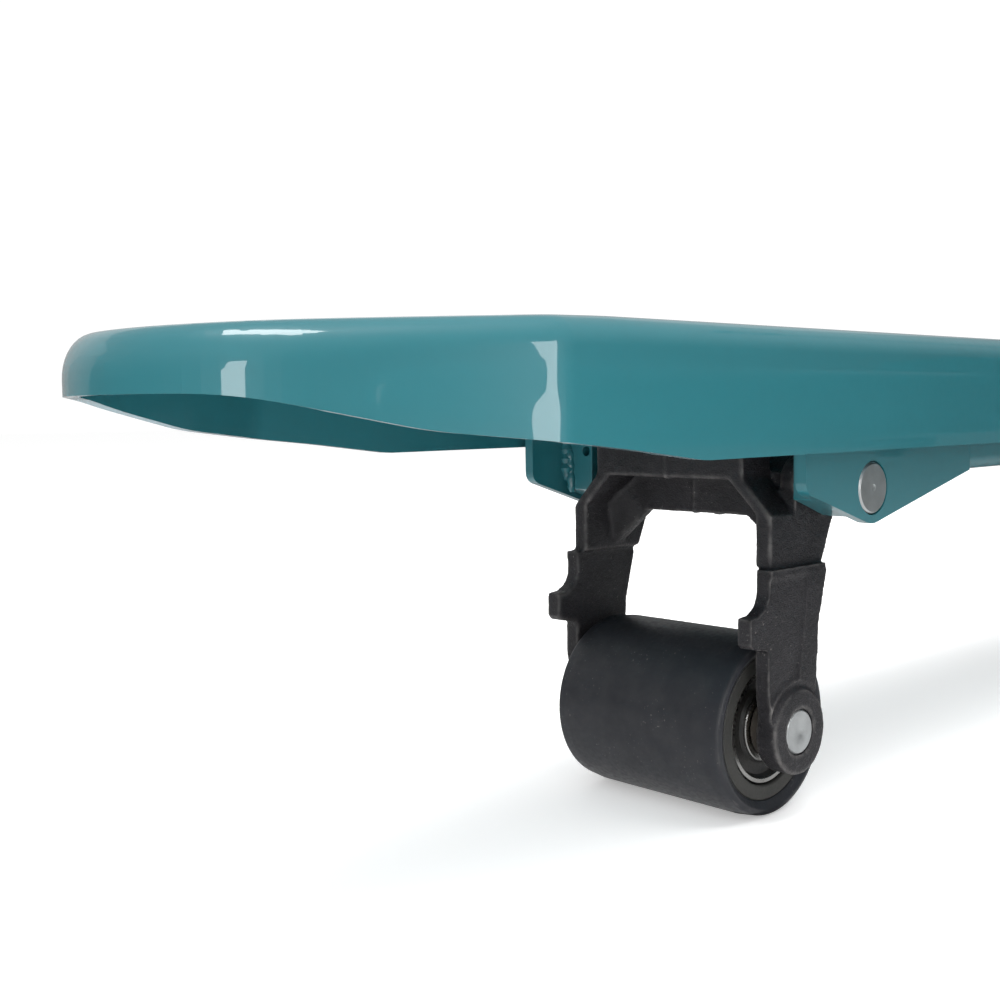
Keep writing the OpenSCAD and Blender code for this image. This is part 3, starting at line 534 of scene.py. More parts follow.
def turned(mesh: bmesh.types.BMesh, profile: Sequence[tuple[float, float]], centre: Point,
           steps: int = 72) -> None:
    """Turn a profile about a line along X; it is closed unless it starts on the line.

    Args:
        mesh: The mesh that it is added to.
        profile: Places along X, from the centre, and radii.
        centre: A point on the axis.
        steps: Faces round the axis.
    """
    verts = [mesh.verts.new((centre[0] + x, centre[1], centre[2] + r)) for x, r in profile]
    following = verts[1:] + (verts[:1] if profile[0][1] > 0 else [])
    edges = [mesh.edges.new((a, b)) for a, b in zip(verts, following)]
    bmesh.ops.spin(mesh, geom=verts + edges, cent=centre, axis=(1, 0, 0), angle=math.tau, steps=steps,
                   use_merge=True)
    bmesh.ops.remove_doubles(mesh, verts=mesh.verts, dist=TINY)
    bmesh.ops.dissolve_degenerate(mesh, edges=mesh.edges, dist=TINY)
    bmesh.ops.recalc_face_normals(mesh, faces=mesh.faces)


def rim_of(ring: Sequence[bmesh.types.BMVert]) -> list[bmesh.types.BMEdge]:
    """Return the edges that join a ring's own vertices."""
    return list({e for v in ring for e in v.link_edges if all(w in ring for w in e.verts)})


def bead(mesh: bmesh.types.BMesh, start: Point, end: Point, radius: float, pitch: float) -> None:
    """Lay a rippled weld bead between two points.

    Args:
        mesh: The mesh that it is added to.
        start: One end.
        end: The other end.
        radius: The bead's mean radius.
        pitch: Length of a ripple.
    """
    first, run = Vector(start), Vector(end) - Vector(start)
    turn = run.to_track_quat("Z", "Y").to_matrix().to_4x4()
    per_ripple, size = 4, 0.4
    steps = max(8, int(run.length / pitch) * per_ripple)
    ring = bmesh.ops.create_circle(mesh, cap_ends=True, segments=12, radius=radius * size,
                                   matrix=Matrix.Translation(first) @ turn)["verts"]
    for k in range(1, steps + 1):
        share = k / steps
        ends = min(1.0, 4.5 * min(share, 1.0001 - share) + 0.4)
        wanted = (0.86 + 0.14 * math.sin(math.tau * k / per_ripple)) * ends
        wanted *= 1.0 + 0.10 * math.sin(13.0 * share + 40.0 * start[2])
        made = bmesh.ops.extrude_edge_only(mesh, edges=rim_of(ring))["geom"]
        ring = [g for g in made if isinstance(g, bmesh.types.BMVert)]
        bmesh.ops.translate(mesh, verts=ring, vec=run / steps)
        bmesh.ops.scale(mesh, verts=ring, vec=(wanted / size,) * 3,
                        space=Matrix.Translation(-(first + run * share)))
        size = wanted
    bmesh.ops.contextual_create(mesh, geom=rim_of(ring))


def middle_of(node: str) -> Vector:
    """Return the middle of a CAD node's box."""
    low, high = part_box(node)
    return Vector(((low.x + high.x) / 2, (low.y + high.y) / 2, (low.z + high.z) / 2))


def radius_of(node: str) -> float:
    """Return the radius of a round CAD node that lies along X."""
    low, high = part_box(node)
    return (high.z - low.z) / 2


def across(x: float, y: float, z: float) -> Matrix:
    """Return the placement of an upright cone that is laid along X at a point."""
    return Matrix.Translation((x, y, z)) @ Matrix.Rotation(math.pi / 2, 4, "Y")


@dataclass
class Assembly:
    """A sub-assembly: a body's CAD nodes, their finishes and what is added to them."""

    frame: dict
    palette: Palette
    pieces: list[bpy.types.Object] = field(default_factory=list)

    def keep(self, piece: bpy.types.Object, node: str) -> None:
        """Make a piece ride on a CAD node's body, and note it.

        Args:
            piece: The piece.
            node: The CAD node.
        """
        body = self.body_of(node)
        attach(piece, body)
        self.pieces.append(piece)
        log.info("piece %s rides on %s", piece.name, body)

    def body_of(self, node: str) -> str:
        """Return the body that a CAD node belongs to."""
        bodies = self.frame["record"]["behaviour"]["bodies"]
        return next(body for body, members in bodies.items() if node in members)

    def stand_in(self, piece: bpy.types.Object, node: str) -> None:
        """Let a piece stand for a CAD node, on its body."""
        self.keep(piece, node)
        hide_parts(node)

    def rounded(self, node: str, finish: Finish, width: float, segments: int = 2,
                angle: float = 28.0) -> None:
        """Stand a rounded copy in for a CAD node.

        Args:
            node: The CAD node.
            finish: The copy's finish.
            width: Width of the rounding along its edges.
            segments: Faces across the rounding.
            angle: Angle in degrees over which an edge is rounded.
        """
        mesh = solid_copy(self.frame["nodes"][node])
        piece = to_object(node + "_dressed", mesh, self.palette(finish))
        soften(piece, width, segments, angle)
        self.stand_in(piece, node)

    def pin(self, node: str, finish: Finish, chamfer: float, mark: float = 0.0022) -> None:
        """Stand a turned pin, with chamfered ends and centre marks, in for a CAD node along X.

        Args:
            node: The CAD node.
            finish: The pin's finish.
            chamfer: Width of the chamfer round each end.
            mark: Radius of the centre mark in each end.
        """
        low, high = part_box(node)
        half, radius, sunk = (high.x - low.x) / 2, radius_of(node), 0.0005
        end = [(half - sunk, 0.0), (half - 0.00022, mark * 0.5), (half - 0.00020, mark * 0.8), (half, mark),
               (half, radius - chamfer), (half - chamfer, radius)]
        mesh = bmesh.new()
        turned(mesh, end + [(-x, r) for x, r in reversed(end)], tuple(middle_of(node)))
        self.stand_in(to_object(node + "_turned", mesh, self.palette(finish), 25), node)

    def round_all(self, rows: Sequence[tuple]) -> None:
        """Stand rounded copies in for several CAD nodes.

        Args:
            rows: Each node's name, finish and width of rounding, and the faces across it where not 2.
        """
        for node, finish, width, *segments in rows:
            self.rounded(node, finish, width, *segments)


@dataclass
class Sided(Assembly):
    """A sub-assembly of which the truck has a left and a right one."""

    side: Side = Side.LEFT

    def own(self, part: str) -> str:
        """Return the name of this side's part."""
        return f"{self.side.value}_{part}"


# ---------- sub-assemblies ----------


@dataclass
class Fork(Sided):
    """One fork: pressed shell, rails, web plates, bosses and the pivot pin."""

    plate: float = 0.005
    nose_reach: float = 0.183
    taper_start: float = 0.070
    taper: float = math.radians(22)
    corner_bend: float = 0.025
    edge_bend: float = 0.010
    skirt: float = 0.0488
    nose_drop: float = 0.0045
    lip: float = 0.0195
    shaft_hole: float = 0.0185
    slice_start: float = 0.0015
    slice_step: float = 0.0034
    slices: int = 60
    row_start: float = 0.0035
    row_step: float = 0.004
    rows: int = 9
    ripple: float = 0.00016
    level: float = 0.040
    deepens: float = 0.115

    def outline(self, half: float, end: float) -> bmesh.types.BMesh:
        """Draw the shell's plan as one flat face, with the skirts' low corner at y = 0.

        Args:
            half: Half of the fork's width.
            end: Where the fork ends at the heel.

        Returns:
            The mesh.
        """
        mesh = bmesh.new()
        lean = self.nose_reach - self.taper_start
        nose = (half * math.cos(self.taper) - lean * math.sin(self.taper)) / (1 - math.sin(self.taper))
        centre = Vector((0, nose - self.nose_reach, 0))
        touch = centre + nose * Vector((math.cos(self.taper), -math.sin(self.taper), 0))
        heel = mesh.verts.new((half, end, 0))
        corner = mesh.verts.new((half, -self.taper_start, 0))
        start = mesh.verts.new(touch)
        mesh.edges.new((heel, corner))
        mesh.edges.new((corner, start))
        bmesh.ops.spin(mesh, geom=[start], cent=centre, axis=(0, 0, -1), angle=math.pi / 2 - self.taper,
                       steps=14)
        bmesh.ops.bevel(mesh, geom=[corner], offset=self.corner_bend * math.tan(self.taper / 2),
                        offset_type="OFFSET", affect="VERTICES", segments=7, profile=0.5, material=-1)
        bmesh.ops.mirror(mesh, geom=mesh.verts[:] + mesh.edges[:], axis="X", merge_dist=CLOSE)
        bmesh.ops.remove_doubles(mesh, verts=mesh.verts, dist=CLOSE)
        bmesh.ops.contextual_create(mesh, geom=[v for v in mesh.verts if v.co.y > end - HAIR])
        bmesh.ops.contextual_create(mesh, geom=mesh.edges)
        face = mesh.faces[0]
        if face.normal.z < 0:
            face.normal_flip()
        return mesh

    def shell(self) -> None:
        """Press the shell: rounded top edges, skirts that run out to the nose, and one wall."""
        node = self.own("fork")
        low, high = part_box(node)
        mesh = self.outline((high.x - low.x) / 2, high.y - low.y - self.nose_reach)
        top = high.z
        bmesh.ops.translate(mesh, verts=mesh.verts, vec=(0, 0, top - self.skirt))
        made = bmesh.ops.extrude_face_region(mesh, geom=mesh.faces[:])["geom"]
        roof = [g for g in made if isinstance(g, bmesh.types.BMFace)]
        bmesh.ops.translate(mesh, verts=list({v for f in roof for v in f.verts}), vec=(0, 0, self.skirt))
        bmesh.ops.recalc_face_normals(mesh, faces=mesh.faces)
        floor = [f for f in mesh.faces if f.normal.z < -0.9]
        back = [f for f in mesh.faces if f.normal.y > 0.9]
        bmesh.ops.delete(mesh, geom=floor + back, context="FACES")
        rim = [e for e in mesh.edges if e.is_manifold and all(v.co.z > top - HAIR for v in e.verts)]
        bmesh.ops.bevel(mesh, geom=rim, offset=self.edge_bend, offset_type="OFFSET", affect="EDGES",
                        segments=10, profile=0.5, material=-1, clamp_overlap=False)
        for k in range(self.slices):
            self.score(mesh, (0, -self.nose_reach + self.slice_start + self.slice_step * k, 0), (0, 1, 0))
        for k in range(self.rows):
            self.score(mesh, (0, 0, top - self.skirt + self.row_start + self.row_step * k), (0, 0, 1))
        self.run_out(mesh, top)
        self.press_marks(mesh)
        bmesh.ops.translate(mesh, verts=mesh.verts, vec=((low.x + high.x) / 2, low.y + self.nose_reach, 0))
        piece = to_object(f"{node}_shell", mesh, self.palette(TEAL), 60)
        # The plate's cut rim takes the pale teal, a painted highlight along the edges.
        piece.data.materials.append(self.palette(TEAL_EDGE_HIGHLIGHT))
        wall = piece.modifiers.new("wall", "SOLIDIFY")
        wall.material_offset_rim = 1
        wall.thickness = self.plate
        wall.offset = -1.0
        wall.use_even_offset = True
        self.bore_for_shaft(piece)
        bake(piece)
        soften(piece, 0.0010, 3, 50.0)
        # The small roundings of the cut edges take the painted highlight too.
        piece.modifiers["edges"].material = 1
        self.stand_in(piece, node)

    def score(self, mesh: bmesh.types.BMesh, place: Point, way: Point) -> None:
        """Cut the shell's faces along a plane, so that they can bend there."""
        bmesh.ops.bisect_plane(mesh, geom=mesh.verts[:] + mesh.edges[:] + mesh.faces[:], dist=SLICE,
                               plane_co=place, plane_no=way)

    def press_marks(self, mesh: bmesh.types.BMesh) -> None:
        """Ripple the plate a little where the press drew it round the plan corners.

        Args:
            mesh: The shell's mesh.
        """
        moves = []
        for vert in mesh.verts:
            near = math.exp(-((vert.co.y + self.taper_start + 0.002) / 0.013) ** 2)
            if near > 0.02 and abs(vert.normal.z) < 0.5:
                wave = noise.noise(Vector((vert.co.x * 20, vert.co.y * 150, vert.co.z * 75)))
                moves.append((vert, vert.normal * (self.ripple * near * (wave - 0.5))))
        for vert, move in moves:
            vert.co += move

    def run_out(self, mesh: bmesh.types.BMesh, top: float) -> None:
        """Let the top fall and the skirts run out towards the nose.

        Args:
            mesh: The shell's mesh.
            top: Height of the fork's top.
        """
        reach, skirt, lip = self.nose_reach, top - self.skirt, top - self.nose_drop - self.lip
        under = [(-reach, lip), (0.018 - reach, lip - 0.0004), (0.033 - reach, lip - 0.0035),
                 (0.073 - reach, skirt + 0.0125), (-self.level, skirt + 0.0051), (0.0, skirt), (2.0, skirt)]
        bend = top - self.edge_bend
        for vert in mesh.verts:
            y, z = vert.co.y, vert.co.z
            share = min(1.0, max(0.0, (-self.level - y) / (reach - self.level)))
            deep = 1 + 0.5 * min(1.0, max(0.0, (-self.deepens - y) / (reach - self.deepens)))
            fallen = top - self.nose_drop * share ** 1.3
            if z < bend - HAIR:
                window = 0.007 if y < -0.03 else 0.0025
                foot = sum(along(under, y + window * k) for k in (-1, -0.5, 0, 0.5, 1)) / 5
                head = fallen - self.edge_bend * deep
                vert.co.z = foot + (head - foot) * (z - skirt) / (bend - skirt)
            else:
                vert.co.z = fallen - (top - z) * deep

    def bore_for_shaft(self, piece: bpy.types.Object) -> None:
        """Cut the torsion shaft's clearance hole through the inner skirt.

        Args:
            piece: The shell, before its modifiers are applied.
        """
        low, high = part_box(self.own("fork"))
        inner = low.x if abs(low.x) < abs(high.x) else high.x
        shaft = middle_of("torsion_bushes")
        mesh = bmesh.new()
        bmesh.ops.create_cone(mesh, cap_ends=True, segments=64, radius1=self.shaft_hole,
                              radius2=self.shaft_hole, depth=0.016, matrix=across(inner, shaft.y, shaft.z))
        cutter = to_object("cutter", mesh, self.palette(TEAL))
        hole = piece.modifiers.new("hole", "BOOLEAN")
        hole.object = cutter
        hole.solver = "EXACT"
        bake(piece)
        bpy.data.objects.remove(cutter)

    def welds(self) -> None:
        """Lay the weld beads between the bosses and the web plates."""
        node = self.own("pin_bosses")
        low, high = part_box(node)
        mesh = bmesh.new()
        for x, inward in ((low.x, 1), (high.x, -1)):
            foot = (x + inward * 0.0006, low.y - 0.0006, low.z + 0.013)
            bead(mesh, foot, (foot[0] - inward * 0.0010, foot[1] + 0.0006, high.z + 0.006), 0.0040, 0.0042)
            bead(mesh, (foot[0] + inward * 0.0026, foot[1] + 0.0010, foot[2] - 0.006),
                 (foot[0] + inward * 0.0012, foot[1] + 0.0008, foot[2] + 0.017), 0.0030, 0.0050)
        bmesh.ops.recalc_face_normals(mesh, faces=mesh.faces)
        piece = to_object(self.own("boss_welds"), mesh, self.palette(TEAL))
        self.keep(piece, node)

    def build(self) -> None:
        """Build the fork's pieces."""
        self.shell()
        self.round_all([(self.own("fork_rails"), TEAL, 0.0008), (self.own("web_plates"), TEAL, 0.0009, 3),
                        (self.own("pin_bosses"), TEAL, 0.0008, 3)])
        self.pin(self.own("pivot_pin"), PIN_END, 0.0008, 0.0016)
        self.welds()


@dataclass
class Yoke(Sided):
    """The cast yoke that swings a load roller, with its bushes, pins and spacers."""

    voxel: float = 0.00096
    rough: float = 0.00016
    parting: float = 0.0016
    ridge: float = 0.0007
    cheek_radius: float = 0.0125
    cheek_width: float = 0.0078
    leg_inside: float = 0.052
    leg_face: float = 0.0582
    eye_reach: float = 0.0225
    leg_length: float = 0.071
    panel_top: float = 0.96
    panel_depth: float = 0.0007
    groove: float = 0.0183
    groove_width: float = 0.0032
    groove_depth: float = 0.0008
    clearance: float = 0.00008
    gusset: ClassVar[tuple[Point, ...]] = (
        (0.0495, -0.022, -0.031), (0.0495, -0.026, -0.004), (0.0365, -0.019, 0.005),
        (0.0290, -0.019, -0.0135), (0.0495, -0.014, -0.031), (0.0495, -0.014, -0.004),
        (0.0365, -0.014, 0.005), (0.0290, -0.014, -0.0135))

    def __post_init__(self) -> None:
        """Find the casting's node, its mid-plane and the axes of its bores."""
        self.node = self.own("yoke")
        self.middle = middle_of(self.node).x
        self.pivot = middle_of(self.own("pivot_pin"))
        self.axle = middle_of(self.own("roller_axle"))
        self.push = middle_of(self.own("push_pin"))

    def casting(self) -> None:
        """Cast the yoke: one skin with rounded edges, a parting line and a pitted surface."""
        mesh = solid_copy(self.frame["nodes"][self.node])
        bmesh.ops.triangulate(mesh, faces=mesh.faces)
        self.gussets(mesh)
        self.cheeks(mesh)
        piece = to_object(f"{self.node}_casting", mesh, self.palette(CAST_BLACK), 180)
        skin = piece.modifiers.new("skin", "REMESH")
        skin.mode = "VOXEL"
        skin.voxel_size = self.voxel
        bake(piece)
        mesh = bmesh.new()
        mesh.from_mesh(piece.data)
        for _ in range(2):
            bmesh.ops.smooth_vert(mesh, verts=mesh.verts, factor=0.5, use_axis_x=True, use_axis_y=True,
                                  use_axis_z=True)
        self.parting_line(mesh)
        self.panels(mesh)
        self.pit(mesh)
        self.true_bores(mesh)
        for face in mesh.faces:
            face.smooth = True
        mesh.to_mesh(piece.data)
        mesh.free()
        self.stand_in(piece, self.node)

    def gussets(self, mesh: bmesh.types.BMesh) -> None:
        """Add the slanted gussets in the corners between the legs and the hub beam.

        Args:
            mesh: The casting, before its skin.
        """
        for way in (-1, 1):
            verts = [mesh.verts.new((self.middle + way * x, self.pivot.y + y, self.pivot.z + z))
                     for x, y, z in self.gusset]
            bmesh.ops.convex_hull(mesh, input=verts)

    def cheeks(self, mesh: bmesh.types.BMesh) -> None:
        """Round the fronts of the cheeks that carry the pivot.

        Args:
            mesh: The casting, before its skin.
        """
        for way in (-1, 1):
            bmesh.ops.create_cone(mesh, cap_ends=True, segments=48, radius1=self.cheek_radius,
                                  radius2=self.cheek_radius, depth=self.cheek_width,
                                  matrix=across(self.middle + way * 0.0527, self.pivot.y - 0.0112,
                                                self.pivot.z + 0.0018))

    def panels(self, mesh: bmesh.types.BMesh) -> None:
        """Sink the margins of the legs' outer faces and the groove over each eye.

        Args:
            mesh: The casting.
        """
        for vert in mesh.verts:
            out = 1 if vert.co.x > self.middle else -1
            reach = abs(vert.co.x - self.middle)
            if vert.normal.x * out < 0.5 or reach < self.leg_inside:
                continue
            away = math.hypot(vert.co.y - self.axle.y, vert.co.z - self.axle.z)
            rise = (vert.co.z - self.axle.z) / self.leg_length
            spine = self.axle.y + 0.0035 + 0.013 * rise
            off = abs(vert.co.y - spine) - 0.0062 - 0.0012 * rise
            if self.eye_reach < away and 0.0 < rise < self.panel_top and reach > self.leg_face:
                fade = min(1.0, (away - self.eye_reach) / 0.002, (self.panel_top - rise) / 0.03)
                vert.co.x -= out * self.panel_depth * fade * min(1.0, max(0.0, off / 0.0012))
            turn = (away - self.groove) / self.groove_width
            if 0.0 < turn < 1.0 and vert.co.z > self.axle.z - 0.004:
                vert.co.x -= out * self.groove_depth * math.sin(math.pi * turn)

    def parting_line(self, mesh: bmesh.types.BMesh) -> None:
        """Raise the low ridge where the mould's halves met.

        Args:
            mesh: The casting.
        """
        for vert in mesh.verts:
            off = abs(vert.co.x - self.middle)
            if off < self.parting and abs(vert.normal.x) < 0.4:
                vert.co += vert.normal * self.ridge * (1 - off / self.parting)

    def pit(self, mesh: bmesh.types.BMesh) -> None:
        """Roughen the skin a little, at two scales.

        Args:
            mesh: The casting.
        """
        for vert in mesh.verts:
            coarse = noise.noise(vert.co * 190.0)
            fine = noise.noise(vert.co * 620.0)
            vert.co += vert.normal * self.rough * (0.75 * coarse + 0.55 * fine - 0.4)

    def true_bores(self, mesh: bmesh.types.BMesh) -> None:
        """Bring the bores back to their sizes after the smoothing.

        Args:
            mesh: The casting.
        """
        for centre, fills in ((self.pivot, "yoke_bushes"), (self.axle, "roller_axle"),
                              (self.push, "push_pin")):
            radius = radius_of(self.own(fills)) + self.clearance
            for vert in mesh.verts:
                away = math.hypot(vert.co.y - centre.y, vert.co.z - centre.z)
                if 0.0004 < away < radius + 0.0007:
                    vert.co.y = centre.y + (vert.co.y - centre.y) * radius / away
                    vert.co.z = centre.z + (vert.co.z - centre.z) * radius / away

    def build(self) -> None:
        """Build the yoke's pieces."""
        self.casting()
        self.rounded(self.own("yoke_bushes"), BRONZE, 0.0003)
        self.pin(self.own("roller_axle"), PIN_END, 0.0010)
        self.rounded(self.own("axle_spacers"), SPACER, 0.0006)
        self.rounded(self.own("push_pin"), DARK_STEEL, 0.0006)


@dataclass
class LoadRoller(Sided):
    """A load roller: its tread, hub and ball bearings."""

    race: float = 0.0028
    inner_race: float = 0.0056
    dish: float = 0.0026
    width: float = 0.015
    tuck: float = 0.0003
    gap: float = 0.0003

    def bearings(self) -> None:
        """Build the ball bearings: a thin outer ring, a dished shield and an inner ring each."""
        node = self.own("roller_bearings")
        low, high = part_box(node)
        outer, bore = radius_of(node), radius_of(self.own("roller_axle")) + 0.00005
        face, back, lip, ring = (high.x - low.x) / 2, 0.001, bore + self.inner_race, outer - self.race
        rear = face - self.width
        forms = {
            "outer_race": (RACE, [(face, outer - 0.0009), (face, ring + 0.0003), (face - 0.0004, ring),
                                  (rear, ring), (rear, outer - self.gap), (face - 0.0009, outer - self.gap)]),
            "shield": (SHIELD, [(face - 0.0007, ring + self.tuck), (face - self.dish, ring - 0.0014),
                                (face - self.dish, lip + 0.0012), (face - back, lip - self.tuck),
                                (rear + back, lip - self.tuck), (rear + back, ring + self.tuck)]),
            "inner_race": (RACE, [(face, lip - 0.0004), (face, bore), (rear, bore), (rear, lip),
                                  (face - 0.0004, lip)]),
        }
        for key, (finish, profile) in forms.items():
            mesh = bmesh.new()
            for way in (1, -1):
                turned(mesh, [(way * x, r) for x, r in profile], tuple(middle_of(node)))
            self.stand_in(to_object(self.own(f"roller_{key}"), mesh, self.palette(finish), 40), node)

    def build(self) -> None:
        """Build the roller's pieces."""
        self.rounded(self.own("roller_tread"), ROLLER, 0.0016, 4, 15.0)
        self.rounded(self.own("roller_hub"), HUB_GREY, 0.0008, 3)
        self.bearings()


@dataclass
class Linkage(Assembly):
    """Torsion shaft, push rods, linking frame and their pins."""

    def build(self) -> None:
        """Build the linkage's pieces."""
        self.round_all([
            ("torsion_shaft", BLACK_PAINT, 0.0010), ("link_pin", BRIGHT_STEEL, 0.0010),
            ("lever_pins", DARK_STEEL, 0.0006), ("torsion_bushes", BRONZE, 0.0004),
            ("linking_frame", BLACK_PAINT, 0.0012), ("thrust_washer", BRONZE, 0.0004),
            *((f"{side.value}_push_rod", DARK_STEEL, 0.0010) for side in Side)])


@dataclass
class Heel(Assembly):
    """The heel frame that ties the forks to the neck, and the ram under it."""

    def build(self) -> None:
        """Build the heel's pieces."""
        self.round_all([("heel_frame", TEAL, 0.0012, 3), ("ram", CHROME, 0.0008)])


@dataclass
class Pump(Assembly):
    """The hydraulic pump with its axle, valve lever, plunger and spring."""

    stroke: float = 0.0319

    def build(self) -> None:
        """Build the pump's pieces."""
        self.round_all([
            ("pump_body", PUMP_CASTING, 0.0016), ("ram_gland", DARK_STEEL, 0.0008),
            ("filler_plug", BRIGHT_STEEL, 0.0006), ("steer_axle", BRIGHT_STEEL, 0.0012),
            ("axle_washers", DARK_STEEL, 0.0005), ("valve_lever", DARK_STEEL, 0.0008),
            ("plunger", BRIGHT_STEEL, 0.0008)])
        self.spring()

    def spring(self) -> None:
        """Stand a copy, with its own mesh, in for the plunger's spring; on the truck the spring shortens as
        the tiller presses the plunger, but the copy keeps its length.
        """
        node = "plunger_spring"
        piece = to_object(node + "_coiled", solid_copy(self.frame["nodes"][node]),
                          self.palette(DARK_STEEL), 60)
        self.stand_in(piece, node)
        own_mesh(piece)


@dataclass
class SteeringWheel(Sided):
    """A steering wheel: its tread, hub and ball bearings."""

    def build(self) -> None:
        """Build the wheel's pieces."""
        self.round_all([(self.own("wheel_tread"), TYRE, 0.0012), (self.own("wheel_hub"), WHEEL_CAST, 0.0012),
                        (self.own("wheel_bearings"), BRIGHT_STEEL, 0.0006)])


@dataclass
class Tiller(Assembly):
    """The tiller: tube, looped handle, grip, release lever and pull rod."""

    def build(self) -> None:
        """Build the tiller's pieces."""
        self.round_all([
            ("tiller_tube", BLACK_PAINT, 0.0012), ("tiller_hinge_pin", BRIGHT_STEEL, 0.0010),
            ("cam_roller", BRIGHT_STEEL, 0.0010), ("handle_body", BLACK_PAINT, 0.0020, 3),
            ("handle_loop", BLACK_PAINT, 0.0006), ("handle_grip", GRIP, 0.0008),
            ("release_lever", LEVER, 0.0012, 3), ("pull_rod", BRIGHT_STEEL, 0.0006)])


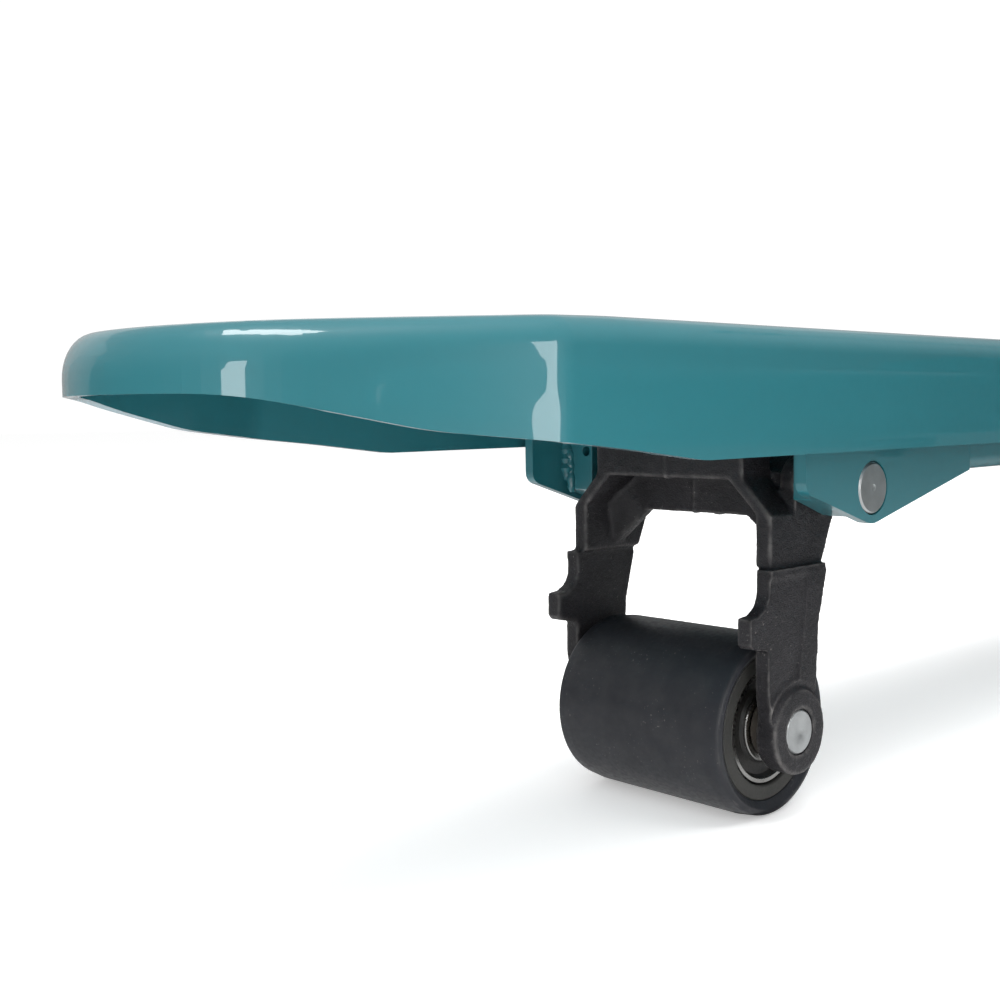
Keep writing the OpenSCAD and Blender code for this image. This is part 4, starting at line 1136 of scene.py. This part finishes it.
@dataclass
class Studio:
    """Floor, lights, sky and camera."""

    lens: float = 45.29
    stand: Point = (0.36254, -0.350164, 0.179563)
    nose_back: float = 0.0794
    yaw: float = 0.821
    pitch: float = -0.071
    roll: float = -0.015
    aim: Point = (0.0, 0.11, 0.185)
    horizon: float = 0.16
    zenith: float = 0.75
    gloss: float = 0.55
    backdrop: float = 1.05
    floor_size: float = 14.0
    floor_grey: float = 0.80

    def camera(self) -> None:
        """Place the camera close to the left fork's tip, from the gap between the forks."""
        start = Vector((middle_of("left_fork").x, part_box("left_web_plates")[0].y - self.nose_back, 0.0))
        turn = (Matrix.Rotation(self.yaw, 4, "Z") @ Matrix.Rotation(math.pi / 2 + self.pitch, 4, "X")
                @ Matrix.Rotation(self.roll, 4, "Z"))
        lens = bpy.data.cameras.new("camera")
        lens.lens = self.lens
        lens.sensor_width = 36.0
        lens.clip_start = 0.01
        camera = bpy.data.objects.new("camera", lens)
        bpy.context.scene.collection.objects.link(camera)
        camera.matrix_world = Matrix.Translation(start + Vector(self.stand)) @ turn
        bpy.context.scene.camera = camera

    def tip(self, offset: Point) -> Vector:
        """Return a point from the floor under the corner of the left fork's tip."""
        low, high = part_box("left_fork")
        return Vector((high.x + offset[0], low.y + offset[1], offset[2]))

    def hang(self, name: str, size: tuple[float, float], power: float, place: Vector,
             away: Vector) -> bpy.types.Object:
        """Hang a rectangular soft light that the camera doesn't see.

        Args:
            name: The light's name.
            size: Its width and height.
            power: Its power in watts.
            place: Its middle.
            away: The way its back points.

        Returns:
            The light.
        """
        data = bpy.data.lights.new(name, "AREA")
        data.shape = "RECTANGLE"
        data.size, data.size_y = size
        data.energy = power
        light = bpy.data.objects.new(name, data)
        light.location = place
        light.rotation_euler = away.to_track_quat("Z", "Y").to_euler()
        light.visible_camera = False
        bpy.context.scene.collection.objects.link(light)
        return light

    def lamp(self, name: str, azimuth: float, elevation: float, distance: float, size: tuple[float, float],
             power: float, glints: bool = True) -> None:
        """Hang a light round the fork's tip, facing it.

        Args:
            name: The light's name.
            azimuth: Degrees round from +X towards +Y.
            elevation: Degrees over the floor.
            distance: Its distance.
            size: Its width and height.
            power: Its power in watts.
            glints: Whether it shows in reflections.
        """
        turn, rise = math.radians(azimuth), math.radians(elevation)
        away = Vector((math.cos(turn) * math.cos(rise), math.sin(turn) * math.cos(rise), math.sin(rise)))
        light = self.hang(name, size, power, self.tip(self.aim) + away * distance, away)
        light.visible_glossy = glints

    def bounce(self) -> None:
        """Lay a faint light on the floor, facing up, as the white floor throws light back."""
        light = self.hang("bounce", (0.80, 0.90), 1.0, self.tip((0.06, 0.14, 0.004)), Vector((0, 0, 1)))
        light.rotation_euler = (math.pi, 0.0, 0.0)

    def sky(self) -> None:
        """Build a pale sky that darkens towards the horizon, white where it is the backdrop."""
        world = bpy.data.worlds.new("sky")
        bpy.context.scene.world = world
        nodes = Nodes(world)
        inputs = nodes.surface("ShaderNodeBackground", "ShaderNodeOutputWorld")
        split = nodes.add("ShaderNodeSeparateXYZ")
        nodes.link(nodes.places["Generated"], split.inputs["Vector"])
        rise = nodes.ramp(split.outputs["Z"], 0.02, 0.5, self.horizon, self.zenith)
        path = nodes.add("ShaderNodeLightPath").outputs
        dimmed = nodes.math("MULTIPLY", rise, nodes.ramp(path["Is Glossy Ray"], 0.0, 1.0, 1.0, self.gloss))
        nodes.link(nodes.mix(path["Is Camera Ray"], dimmed, self.backdrop), inputs["Strength"])
        nodes.feed(WHITE, inputs["Color"])

    def floor(self) -> None:
        """Lay the plain white floor, which gives little of its own light back to the paint."""
        mesh = bmesh.new()
        bmesh.ops.create_grid(mesh, x_segments=1, y_segments=1, size=self.floor_size)
        material = bpy.data.materials.new("studio_floor")
        nodes = Nodes(material)
        inputs = nodes.surface("ShaderNodeBsdfPrincipled", "ShaderNodeOutputMaterial")
        path = nodes.add("ShaderNodeLightPath").outputs
        seen = nodes.math("ADD", nodes.math("MULTIPLY", path["Is Camera Ray"], 0.1), self.floor_grey)
        grey = nodes.math("SUBTRACT", seen, nodes.math("MULTIPLY", path["Is Glossy Ray"], 0.58))
        glow = nodes.math("MULTIPLY", path["Is Camera Ray"], 0.36)
        for key, value in {"Roughness": 0.9, "Specular IOR Level": 0.0, "Base Color": grey,
                           "Emission Color": WHITE, "Emission Strength": glow}.items():
            nodes.feed(value, inputs[key])
        to_object("floor", mesh, material)

    def build(self) -> None:
        """Build the floor, the sky and the lights."""
        bpy.context.scene.view_settings.view_transform = "Standard"
        self.floor()
        self.sky()
        self.lamp("overhead", 60.0, 78.0, 2.2, (2.4, 2.4), 66.0, glints=False)
        self.lamp("front", -62.0, 76.0, 2.25, (1.35, 0.62), 29.0)
        self.lamp("fill", -60.0, 30.0, 2.4, (1.8, 1.2), 15.0, glints=False)
        self.lamp("rear", 132.0, 17.0, 2.6, (2.2, 1.6), 2.4)
        self.lamp("side_wall", 175.0, 10.0, 2.6, (4.0, 2.2), 9.0)
        self.lamp("kicker", -72.0, -18.0, 0.5, (0.5, 0.12), 0.4)
        self.lamp("nose_strip", -57.0, 4.0, 1.5, (0.26, 0.50), 2.6)
        self.lamp("corner_strip", 8.0, 1.5, 0.22, (0.060, 0.15), 0.16)
        self.bounce()


def main() -> None:
    """Build the truck and its studio, and report each piece."""
    logging.basicConfig(level=logging.INFO, format="%(message)s")
    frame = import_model()
    palette = Palette()
    studio = Studio()
    studio.camera()
    parts: list[Assembly] = [Heel(frame, palette), Linkage(frame, palette), Pump(frame, palette),
                             Tiller(frame, palette)]
    for side in Side:
        parts += [Fork(frame, palette, side=side), Yoke(frame, palette, side=side),
                  LoadRoller(frame, palette, side=side), SteeringWheel(frame, palette, side=side)]
    for part in parts:
        part.build()
        log.info("%s: %d pieces", type(part).__name__, len(part.pieces))
    studio.build()


if __name__ == "__main__":
    main()
